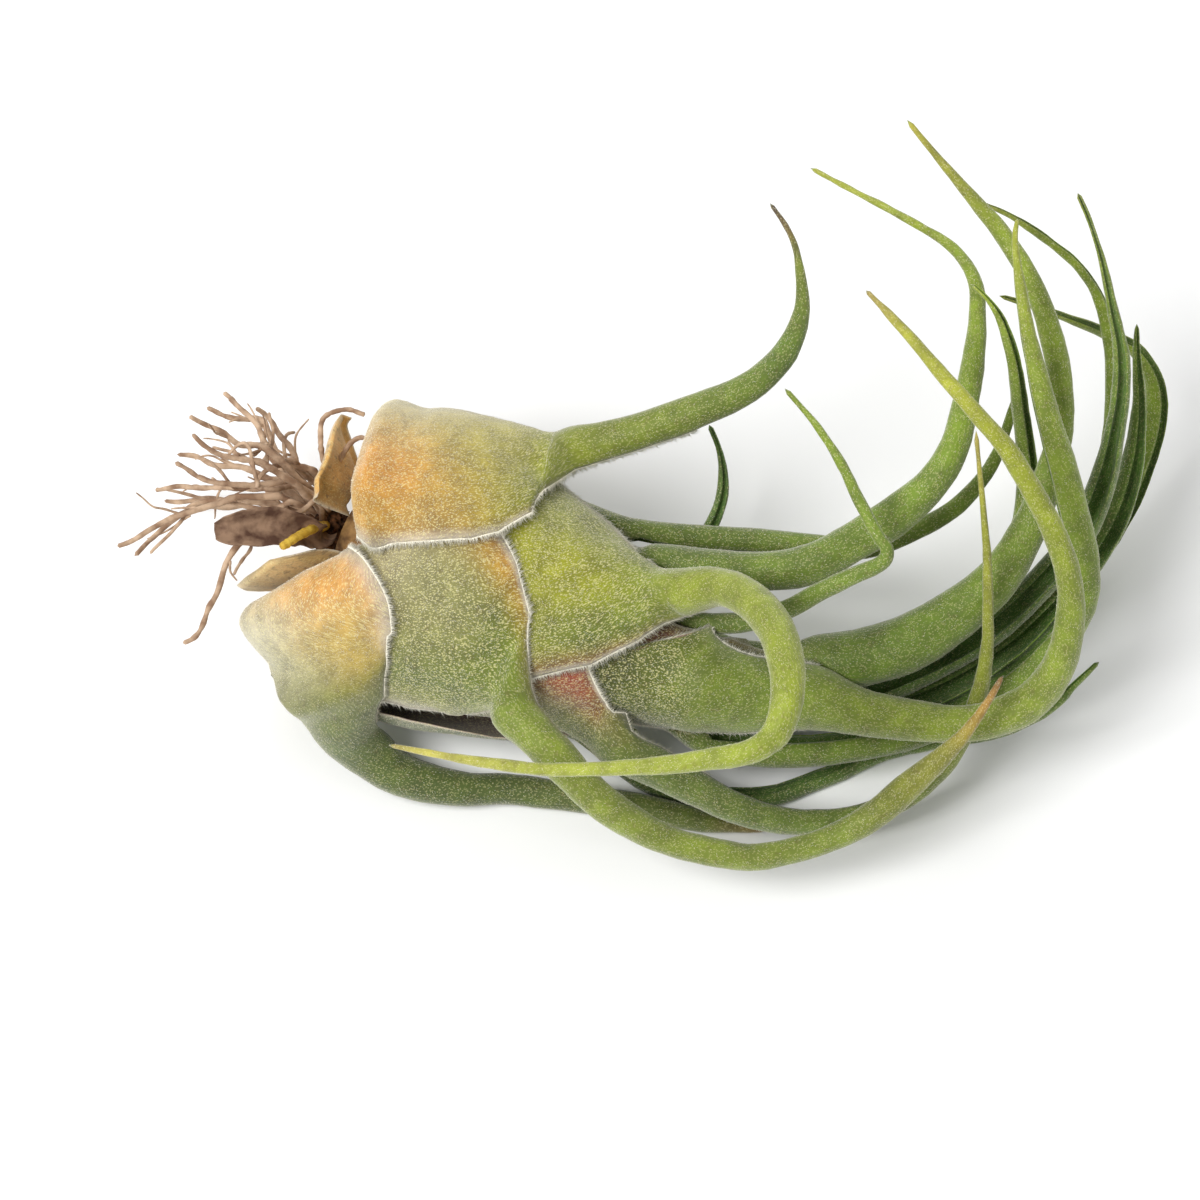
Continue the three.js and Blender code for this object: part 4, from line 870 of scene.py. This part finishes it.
# Middle lines of the roots, outwards from the crown, then of two that loop over the foot.
rootLines = [
    [
        [-39.2, 12, 26], [-41.6, 15, 31], [-44.9, 14.7, 34], [-48.3, 17.3, 36],
        [-51.2, 21.4, 36], [-54.7, 24.5, 37],
    ],
    [[-40.1, 13, 24], [-43.7, 16.5, 27], [-45, 20.5, 29], [-47.8, 24.5, 29], [-50.4, 25.6, 31]],
    [
        [-39.3, 10.4, 28], [-43.7, 11.5, 35], [-47.6, 14.2, 38], [-51.6, 14.8, 39],
        [-55.1, 16.8, 40], [-58.4, 17.2, 42],
    ],
    [[-40.8, 12.6, 21.6], [-45.6, 19.5, 21], [-50.1, 30, 20], [-53.6, 30.5, 21], [-58.5, 31.7, 22]],
    [
        [-39.7, 9.5, 27.8], [-42.8, 9.4, 36], [-46.8, 9.4, 40], [-50.6, 10, 42],
        [-53.9, 10.9, 43], [-57.5, 12.6, 45],
    ],
    [
        [-40.4, 11.5, 25], [-43.6, 13.2, 30], [-47, 12.7, 32], [-50.6, 11, 34],
        [-55.2, 10.5, 35], [-60.8, 12.2, 38],
    ],
    [[-41.1, 12.6, 22.6], [-47.2, 18.8, 19], [-53.2, 20.3, 18], [-59.4, 21.3, 16], [-65.9, 23.1, 14]],
    [[-40.2, 9.7, 26.8], [-46.7, 10.9, 31], [-57.1, 8.3, 32], [-64.5, 5.1, 31], [-68.9, 2.7, 31]],
    [[-40.8, 11, 23.6], [-44.4, 12.7, 24], [-49.9, 14.2, 24], [-60.8, 12.7, 22], [-67.7, 6.1, 22]],
    [
        [-40.2, 8.6, 27], [-44.4, 5.2, 33.6], [-48.4, 4.3, 35.4], [-52.3, -1.1, 33.8],
        [-55.7, -8.3, 29.6], [-59.5, -11.3, 28],
    ],
    [[-40.9, 12.4, 23.6], [-48.1, 17.1, 26], [-53.9, 18.5, 27], [-62.2, 19.9, 28]],
    [[-41.2, 12.2, 22], [-49.1, 19.8, 14], [-56.1, 22.5, 11], [-65.4, 24.3, 8]],
]
loopLines = [
    [
        [-38.8, 11.6, 27.4], [-39.6, 15.4, 33], [-40.1, 18.8, 35], [-39.5, 21.6, 36],
        [-37, 22.3, 37], [-33.7, 21.1, 37],
    ],
    [[-38.6, 10.4, 28], [-37.8, 13, 34.4], [-36.6, 15, 37.4], [-34.1, 16.4, 38.6], [-32, 15.2, 39.4]],
]

# Radii are at the two ends. A strand follows its root for a share of the root's points, and
# rootlets leave the root at a share of its length.
roots = {
    "radii": (0.62, 0.34), "loopRadii": (0.45, 0.34), "seed": 11,
    "strandRadii": (0.5, 0.22), "strandSpread": 2.2, "strandReach": (0.55, 0.95),
    "rootlets": 2, "rootletRadii": (0.22, 0.1), "rootletFrom": (0.3, 0.75),
    "rootletReach": (4.0, 10.0), "rootletTurn": 0.8, "rootletBend": 0.15,
}
tube = {"sides": 8, "steps": 12, "wander": 0.9, "wanderSize": 5.0, "wrinkle": 0.3, "wrinkleStep": 0.45}
crown = {"centre": (-39.6, 10.1, 24.4), "half": (3.0, 3.4, 4.4), "roughness": 0.28, "lumps": 1.3}
stub = {
    "line": [[-39.6, 8.2, 27.4], [-41, 3.4, 34.6], [-42.6, 0.4, 37.4], [-44.8, -1.6, 38.6]],
    "radii": (0.75, 0.62), "seed": 40,
}

# The dead bract's middle line with its half width, and how deep its trough is for that width.
bract = {
    "line": [
        [-39.4, 6.4, 28, 1.2], [-40.2, 3.4, 32.4, 1.6], [-43.4, 2.6, 35.8, 2.3],
        [-47.4, 1.9, 37.4, 2.7], [-51.6, 0.9, 38.4, 2.4], [-54.4, 0.5, 38.4, 1.1],
    ],
    "steps": 8, "columns": 12, "trough": 0.8, "thickness": 0.16, "crumple": 0.3, "crumpleSize": 1.6,
}

# Hairs per square millimetre on the backs of sheaths and blades and in the channels, how they
# stand, and the lashes along the margins, with their spacing. Hairs under a neighbour closer
# than the cover are left out.
hairs = {
    "sheath": 9.0, "blade": 3.5, "tip": 1.5, "channel": 1.5, "length": (0.12, 0.28), "width": 0.055,
    "lift": (0.35, 0.85), "swing": 0.5, "sides": 3, "cover": 2.5, "coverFrom": 0.15,
}
lashes = {"step": 0.05, "length": (0.6, 1.5), "width": 0.1, "pastNeck": 3, "onward": 0.45, "scatter": 0.25}
lashedLeaves = (
    "leaf_upper_left", "leaf_lower_left", "leaf_front", "leaf_looping", "leaf_front_low", "leaf_long_front",
)


def perMm(size):
    return 1 / (size * metresPerMm)


# Adds a shader node with its settings, and sets or links its inputs.
def addNode(material, kind, inputs=None, **settings):
    node = material.node_tree.nodes.new("ShaderNode" + kind)
    for key, value in settings.items():
        setattr(node, key, value)
    for key, value in (inputs or {}).items():
        connect(material, node.inputs[key], value)
    return node


def connect(material, socket, value):
    if isinstance(value, bpy.types.NodeSocket):
        material.node_tree.links.new(value, socket)
    else:
        socket.default_value = value


def colour(hexColour):
    return (*linear(hexColour), 1.0)


def mixColour(material, share, first, second, kind="MIX"):
    inputs = {0: share, 6: first, 7: second}
    return addNode(material, "Mix", inputs, data_type="RGBA", blend_type=kind).outputs[2]


def remap(material, value, fromRange, toRange):
    inputs = {
        "Value": value, "From Min": fromRange[0], "From Max": fromRange[1],
        "To Min": toRange[0], "To Max": toRange[1],
    }
    return addNode(material, "MapRange", inputs).outputs["Result"]


# A pattern of lumps of the given size in millimetres, on the plant's own coordinates.
def noiseTexture(material, size, detail):
    inputs = {
        "Vector": addNode(material, "TexCoord").outputs["Object"], "Scale": perMm(size), "Detail": detail,
    }
    return addNode(material, "TexNoise", inputs).outputs["Fac"]


def newMaterial(name, roughness, sheen=0.0):
    material = bpy.data.materials.new(name)
    material.use_nodes = True
    surface = material.node_tree.nodes["Principled BSDF"]
    surface.inputs["Roughness"].default_value = roughness
    surface.inputs["IOR"].default_value = 1.45
    surface.inputs["Sheen Weight"].default_value = sheen
    surface.inputs["Sheen Roughness"].default_value = 0.6
    return material, surface


# Sizes are in millimetres. Scales are drawn coarser than the real 0.1 mm ones, so that they
# show: each is a pale cell, a little longer than wide.
leafFinish = {
    "mottleSize": 3.2, "mottle": (0.66, 1.14), "fleckSize": 0.9, "fleckFrom": (0.56, 0.7),
    "fleckColour": "#5b4526", "scaleSize": 0.26, "scaleStretch": (1, 0.75, 1), "scaleEdge": (0.2, 0.45),
    # The rim entries paint a sheen: pale silver mixed into the skin where the surface is seen edge-on.
    "scaleColour": "#ece3a4", "rim": (0.4, 1.0), "paintedSheen": 0.28, "paintedSheenColour": "#e6e2c0",
    "veinScale": 0.5, "relief": 0.06,
}


# Matt leaf skin under fine silvery scales: mottled, with faint parallel veins and scattered
# brown flecks, and a painted sheen that turns it pale silver where it is seen along the surface.
def leafMaterial(name, scales, flecks):
    material, surface = newMaterial(name, 0.62, 0.25)
    finish = leafFinish
    paint = addNode(material, "Attribute", attribute_name="tint").outputs
    grain = addNode(material, "Attribute", attribute_name="grain").outputs["Vector"]
    lumps = noiseTexture(material, finish["mottleSize"], 6.0)
    mottle = remap(material, lumps, (0.3, 0.7), finish["mottle"])
    skin = mixColour(material, 1.0, paint["Color"], mottle, "MULTIPLY")
    spots = noiseTexture(material, finish["fleckSize"], 5.0)
    dirt = remap(material, spots, finish["fleckFrom"], (0.0, flecks))
    skin = mixColour(material, dirt, skin, colour(finish["fleckColour"]))
    inputs = {0: grain, 1: finish["scaleStretch"]}
    stretched = addNode(material, "VectorMath", inputs, operation="MULTIPLY").outputs[0]
    inputs = {"Vector": stretched, "Scale": 1 / finish["scaleSize"]}
    cells = addNode(material, "TexVoronoi", inputs).outputs["Distance"]
    scale = remap(material, cells, finish["scaleEdge"], (scales, 0.0))
    scale = addNode(material, "Math", {0: scale, 1: paint["Alpha"]}, operation="MULTIPLY").outputs[0]
    skin = mixColour(material, scale, skin, colour(finish["scaleColour"]))
    # Painted sheen: the skin turns pale silver where the surface is seen edge-on.
    facing = addNode(material, "LayerWeight", {"Blend": 0.35}).outputs["Facing"]
    paintedSheen = remap(material, facing, finish["rim"], (0.0, finish["paintedSheen"]))
    skin = mixColour(material, paintedSheen, skin, colour(finish["paintedSheenColour"]))
    connect(material, surface.inputs["Base Color"], skin)
    inputs = {"Vector": grain, "Scale": finish["veinScale"], "Distortion": 1.5, "Detail": 2.0}
    veins = addNode(material, "TexWave", inputs).outputs["Fac"]
    height = addNode(material, "Math", {0: veins, 1: cells}, operation="SUBTRACT").outputs[0]
    addBump(material, surface, 0.45, finish["relief"], height)
    return material


def addBump(material, surface, strength, depth, height):
    inputs = {"Strength": strength, "Distance": depth * metresPerMm, "Height": height}
    connect(material, surface.inputs["Normal"], addNode(material, "Bump", inputs).outputs["Normal"])


# Dry matt skin, mottled from a dark to a light tone, with a wrinkled surface.
def dryMaterial(name, dark, light, size, roughness=0.85):
    material, surface = newMaterial(name, roughness)
    patches = remap(material, noiseTexture(material, size, 6.0), (0.38, 0.62), (0.0, 1.0))
    skin = mixColour(material, patches, colour(dark), colour(light))
    connect(material, surface.inputs["Base Color"], skin)
    addBump(material, surface, 0.6, 0.1, noiseTexture(material, 0.3 * size, 5.0))
    return material


# Plain matt skin of one colour.
def plainMaterial(name, hexColour, roughness, sheen=0.0):
    material, surface = newMaterial(name, roughness, sheen)
    surface.inputs["Base Color"].default_value = colour(hexColour)
    return material


def curveFrames(points):
    heading = unit(np.gradient(points, axis=0))
    side = unit(np.cross(heading[0], [0.3, 0.2, 1.0]))
    sides = []
    for direction in heading:
        side = unit(side - dot(side, direction) * direction)
        sides.append(side)
    return np.array(sides), np.cross(heading, sides)


# A wrinkled tube along a line, closed to a point at both ends.
def addTube(mesh, line, radii, seed):
    steps = (len(line) - 1) * tube["steps"]
    points = smooth(line, np.linspace(0, len(line) - 1, steps + 1))
    for k in range(1, steps + 1):
        wander = noise.noise_vector(Vector(points[k]) / tube["wanderSize"] + Vector((seed, 0, 0)))
        points[k] += tube["wander"] * min(1, k / tube["steps"]) * np.array(wander)
    first, second = curveFrames(points)
    angle = np.linspace(0, 2 * np.pi, tube["sides"], endpoint=False)
    ring = np.cos(angle)[None, :, None] * first[:, None] + np.sin(angle)[None, :, None] * second[:, None]
    wave = np.array([noise.noise(Vector((seed, k * tube["wrinkleStep"], 0))) for k in range(steps + 1)])
    radius = np.linspace(*radii, steps + 1) * (1 + tube["wrinkle"] * wave)
    rings = points[:, None] + radius[:, None, None] * ring
    rings[0] = points[0]
    rings[-1] = points[-1]
    addRings(mesh, rings)


def makeRoots(material):
    mesh = bmesh.new()
    generator = random.Random(roots["seed"])
    lines = [(line, roots["radii"]) for line in rootLines]
    lines += [(line, roots["loopRadii"]) for line in loopLines]
    for line in rootLines:
        reach = generator.uniform(*roots["strandReach"]) * (len(line) - 1)
        strand = smooth(line, np.linspace(0, reach, len(line) + 1))
        for k in range(1, len(strand)):
            strand[k] += roots["strandSpread"] * anyTurn(generator)
        lines.append((strand, roots["strandRadii"]))
        for _ in range(roots["rootlets"]):
            place = generator.uniform(*roots["rootletFrom"]) * (len(line) - 1)
            start = smooth(line, place)[0]
            onward = smooth(line, place + 0.2)[0] - start
            heading = unit(unit(onward) + roots["rootletTurn"] * anyTurn(generator))
            reach = generator.uniform(*roots["rootletReach"])
            middle = start + 0.5 * reach * heading + roots["rootletBend"] * reach * anyTurn(generator)
            lines.append(([start, middle, start + reach * heading], roots["rootletRadii"]))
    for seed, (line, radii) in enumerate(lines):
        addTube(mesh, line, radii, seed)
    return finishMesh("root_tuft", mesh, material)


def anyTurn(generator):
    return np.array([generator.uniform(-1, 1) for _ in range(3)])


def makeCrown(material):
    mesh = bmesh.new()
    bmesh.ops.create_icosphere(mesh, subdivisions=5, radius=1)
    bmesh.ops.scale(mesh, verts=mesh.verts, vec=crown["half"])
    for vertex in mesh.verts:
        lump = noise.fractal(vertex.co * crown["lumps"], 0.8, 2.1, 4)
        vertex.co = toFrame(np.array(vertex.co * (1 + crown["roughness"] * lump)) + crown["centre"])
    return finishMesh("root_crown", mesh, material)


def makeStub(material):
    mesh = bmesh.new()
    addTube(mesh, stub["line"], stub["radii"], stub["seed"])
    return finishMesh("stalk_stub", mesh, material)


def makeBract(material):
    rows = len(bract["line"]) - 1
    line = smooth(bract["line"], np.linspace(0, rows, bract["steps"] * rows + 1))
    heading = unit(np.gradient(line[:, :3], axis=0))
    sideways = unit(np.cross(frontHint, heading))
    outward = np.cross(heading, sideways)
    share = np.linspace(-1, 1, bract["columns"] + 1)[None, :, None]
    width = line[:, 3][:, None, None]
    points = line[:, None, :3] + width * share * sideways[:, None]
    points += bract["trough"] * width * share ** 2 * outward[:, None]
    for r in range(points.shape[0]):
        for c in range(points.shape[1]):
            spot = Vector(points[r, c]) / bract["crumpleSize"]
            points[r, c] += bract["crumple"] * np.array(noise.noise_vector(spot))
    below = points - bract["thickness"] * outward[:, None]
    below[[0, -1]] = points[[0, -1]]
    mesh = bmesh.new()
    addRings(mesh, np.concatenate([points, below[:, ::-1]], 1))
    return finishMesh("bract_trough", mesh, material)


# Copies one thin open cone to many places.
def scatterHairs(name, feet, directions, lengths, widths, material):
    cone = bmesh.new()
    bmesh.ops.create_cone(cone, segments=hairs["sides"], radius1=0.5, radius2=0, depth=1, cap_ends=False)
    bmesh.ops.remove_doubles(cone, verts=cone.verts, dist=weldDistance)
    bmesh.ops.translate(cone, verts=cone.verts, vec=(0, 0, 0.5))
    cone.verts.index_update()
    shape = np.array([vertex.co for vertex in cone.verts])
    faces = np.array([[vertex.index for vertex in face.verts] for face in cone.faces])
    cone.free()
    first = unit(np.cross(directions, [0.31, 0.52, 0.79]))
    second = np.cross(directions, first)
    ring = shape[None, :, 0, None] * first[:, None] + shape[None, :, 1, None] * second[:, None]
    points = feet[:, None] + widths[:, None, None] * ring
    points = points + (shape[None, :, 2] * lengths[:, None])[..., None] * directions[:, None]
    corners = (faces[None] + len(shape) * np.arange(len(feet))[:, None, None]).reshape(-1)
    data = bpy.data.meshes.new(name)
    data.vertices.add(points.shape[0] * points.shape[1])
    data.vertices.foreach_set("co", toFrame(points).ravel())
    data.loops.add(len(corners))
    data.loops.foreach_set("vertex_index", corners)
    data.polygons.add(len(corners) // hairs["sides"])
    data.polygons.foreach_set("loop_start", np.arange(0, len(corners), hairs["sides"]))
    data.update(calc_edges=True)
    data.validate()
    data.materials.append(material)
    piece = bpy.data.objects.new(name, data)
    bpy.context.scene.collection.objects.link(piece)
    return piece


# Random places on one side of a leaf, with the directions of their hairs.
def hairPlaces(points, normals, density, generator):
    across = points[1:, 1:] - points[:-1, :-1]
    against = points[1:, :-1] - points[:-1, 1:]
    area = 0.5 * np.linalg.norm(np.cross(across, against), axis=-1)
    count = generator.poisson(area * density[:-1, None])
    row, column = np.nonzero(count)
    repeats = count[row, column]
    row, column = np.repeat(row, repeats), np.repeat(column, repeats)
    u, v = generator.random((2, len(row)))
    corners = [
        ((1 - u) * (1 - v), row, column), (u * (1 - v), row + 1, column),
        ((1 - u) * v, row, column + 1), (u * v, row + 1, column + 1),
    ]
    feet = sum(weight[:, None] * points[r, c] for weight, r, c in corners)
    outward = unit(sum(weight[:, None] * normals[r, c] for weight, r, c in corners))
    forward = unit(np.gradient(points, axis=0))[row, column]
    aside = np.cross(outward, forward)
    lift = generator.uniform(*hairs["lift"], len(row))[:, None]
    swing = generator.normal(0, hairs["swing"], len(row))[:, None]
    return feet, unit(forward + swing * aside + lift * outward), outward


def uncovered(feet, outward, tree):
    free = []
    for foot, direction in zip(feet, outward):
        start = Vector(toFrame(foot + hairs["coverFrom"] * direction))
        free.append(tree.ray_cast(start, Vector(direction), hairs["cover"] * metresPerMm)[0] is None)
    return np.array(free, bool)


def valuesAlong(at, along, values):
    return np.stack([np.interp(at, along, values[:, k]) for k in range(3)], -1)


# Long hairs that stand out like lashes from a sheath's two margins.
def lashPlaces(leaf, surface, generator):
    margin = surface["places"] <= len(leaf["sheath"]) - 1 + lashes["pastNeck"]
    feet, directions = [], []
    for edge, inward in ((0, 1), (-1, -2)):
        line = surface["outer"][margin, edge]
        aside = unit(line - surface["outer"][margin, inward])
        steps = np.linalg.norm(np.diff(line, axis=0), axis=1)
        along = np.concatenate([[0], steps.cumsum()])
        at = np.arange(0, along[-1], lashes["step"]) + generator.uniform(0, lashes["step"])
        at = at[at < along[-1]]
        onward = valuesAlong(at, along, unit(np.gradient(line, axis=0)))
        scatter = generator.normal(0, lashes["scatter"], (len(at), 3))
        feet.append(valuesAlong(at, along, line))
        directions.append(unit(valuesAlong(at, along, aside) + lashes["onward"] * onward + scatter))
    return np.concatenate(feet), np.concatenate(directions)


def makeHairs(leaf, surface, tree, material, seed):
    generator = np.random.default_rng(seed)
    onSheath = surface["onSheath"]
    onBlade = np.linspace(hairs["blade"], hairs["tip"], len(onSheath))
    backs = onSheath * hairs["sheath"] + (1 - onSheath) * onBlade
    channels = (1 - onSheath) * hairs["channel"]
    outer = hairPlaces(surface["outer"], surface["normals"], backs, generator)
    inner = hairPlaces(surface["inner"], -surface["normals"], channels, generator)
    feet, directions, outward = (np.concatenate(pair) for pair in zip(outer, inner))
    free = uncovered(feet, outward, tree)
    free &= feet[:, 2] > restHeight + pressedThickness
    feet, directions = feet[free], directions[free]
    lengths = generator.uniform(*hairs["length"], len(feet))
    widths = np.full(len(feet), hairs["width"])
    if leaf["name"] in lashedLeaves:
        lashFeet, lashDirections = lashPlaces(leaf, surface, generator)
        feet = np.concatenate([feet, lashFeet])
        directions = np.concatenate([directions, lashDirections])
        lengths = np.concatenate([lengths, generator.uniform(*lashes["length"], len(lashFeet))])
        widths = np.concatenate([widths, np.full(len(lashFeet), lashes["width"])])
    low = feet[:, 2] + directions[:, 2] * lengths < restHeight
    directions[low, 2] = np.abs(directions[low, 2])
    return scatterHairs(leaf["name"] + "_hairs", feet, directions, lengths, widths, material)


leafSkin = leafMaterial("leaf, matt green under silvery scales", 0.6, 0.3)
drySkin = leafMaterial("dry leaf base, matt and papery", 0.4, 0.6)
# Hairs scatter light softly and look white.
hairSkin = plainMaterial("plant hair, dull white and soft", "#fbf6e4", 0.7, 0.3)
rootSkin = dryMaterial("root, dry brown wire with paler skin", "#8a6c54", "#c7ab8f", 2.4)
crownSkin = dryMaterial("crown of old roots, dark and crusted", "#26140c", "#6b4526", 1.1, 0.95)
stemSkin = dryMaterial("stem, dry and fibrous", "#6b4d2c", "#a8824f", 1.8)
bractSkin = dryMaterial("dead bract, dull brown paper", "#54392a", "#957860", 2.4)
stubSkin = dryMaterial("stub of the flower stalk, dry yellow", "#b8912a", "#e2c04a", 1.2, 0.7)

skins = []
surfaces = {}
for seed, leaf in enumerate(oldSheaths + leaves):
    dry = not leaf["blade"]
    skin, surfaces[leaf["name"]] = makeLeaf(leaf, drySkin if dry else leafSkin, 13.0 * seed)
    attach(skin, "root")
    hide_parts(leaf["name"])
    skins.append(skin)
print("Leaves made:", len(skins))

vertices = []
polygons = []
for skin in skins:
    base = len(vertices)
    vertices += [vertex.co.copy() for vertex in skin.data.vertices]
    polygons += [[base + k for k in polygon.vertices] for polygon in skin.data.polygons]
skinTree = BVHTree.FromPolygons(vertices, polygons)
hairCount = 0
for seed, leaf in enumerate(leaves):
    piece = makeHairs(leaf, surfaces[leaf["name"]], skinTree, hairSkin, seed)
    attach(piece, "root")
    hairCount += len(piece.data.polygons) // hairs["sides"]
print("Hairs made:", hairCount)

for piece, node, slot in (
    (makeRoots(rootSkin), "roots", "root"),
    (makeCrown(crownSkin), "roots", "root"),
    (makeStub(stubSkin), "flower_stalk_stub", "dry_sheath"),
    (makeBract(bractSkin), "dead_bract", "dead_bract"),
):
    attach(piece, "root")
    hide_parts(node)
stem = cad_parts["stem"]
stem.data.materials.clear()
stem.data.materials.append(stemSkin)
print("Roots, stub and bract made")

# Plain pale floor, in metres, and large soft lights, the main one from the upper left, with an
# even white surround.
floorSize = 6.0
lights = [
    {"name": "main_light", "place": (-0.45, -0.35, 0.75), "size": 0.5, "power": 8.0},
    {"name": "fill_light", "place": (0.55, -0.55, 0.6), "size": 0.9, "power": 1.3},
    {"name": "back_light", "place": (0.1, 0.7, 0.6), "size": 0.8, "power": 3.0},
]
surround = 0.35
floorMaterial = plainMaterial("studio floor, plain matt white", "#f8f8f8", 0.9)
floorMesh = bmesh.new()
bmesh.ops.create_grid(floorMesh, x_segments=1, y_segments=1, size=0.5 * floorSize)
finishMesh("studio_floor", floorMesh, floorMaterial)

# The photograph looks down at 60 degrees from far off.
view = {"target": (0, 0, 20), "direction": (0, -0.5, 0.866), "distance": 0.6, "lens": 124.1, "sensor": 36}
target = Vector(toFrame(view["target"]))
for settings in lights:
    data = bpy.data.lights.new(settings["name"], "AREA")
    data.shape = "DISK"
    data.size = settings["size"]
    data.energy = settings["power"]
    lamp = bpy.data.objects.new(settings["name"], data)
    lamp.location = settings["place"]
    lamp.rotation_euler = (target - lamp.location).to_track_quat("-Z", "Y").to_euler()
    bpy.context.scene.collection.objects.link(lamp)
world = bpy.data.worlds.new("studio")
world.use_nodes = True
world.node_tree.nodes["Background"].inputs["Color"].default_value = (1, 1, 1, 1)
world.node_tree.nodes["Background"].inputs["Strength"].default_value = surround
bpy.context.scene.world = world
bpy.context.scene.view_settings.view_transform = "Standard"

cameraData = bpy.data.cameras.new("photo_view")
cameraData.lens = view["lens"]
cameraData.sensor_width = view["sensor"]
cameraData.clip_start = 0.01
camera = bpy.data.objects.new("photo_view", cameraData)
camera.location = target + view["distance"] * Vector(view["direction"])
camera.rotation_euler = Vector(view["direction"]).to_track_quat("Z", "Y").to_euler()
bpy.context.scene.collection.objects.link(camera)
bpy.context.scene.camera = camera
print("Floor, lights and camera made")
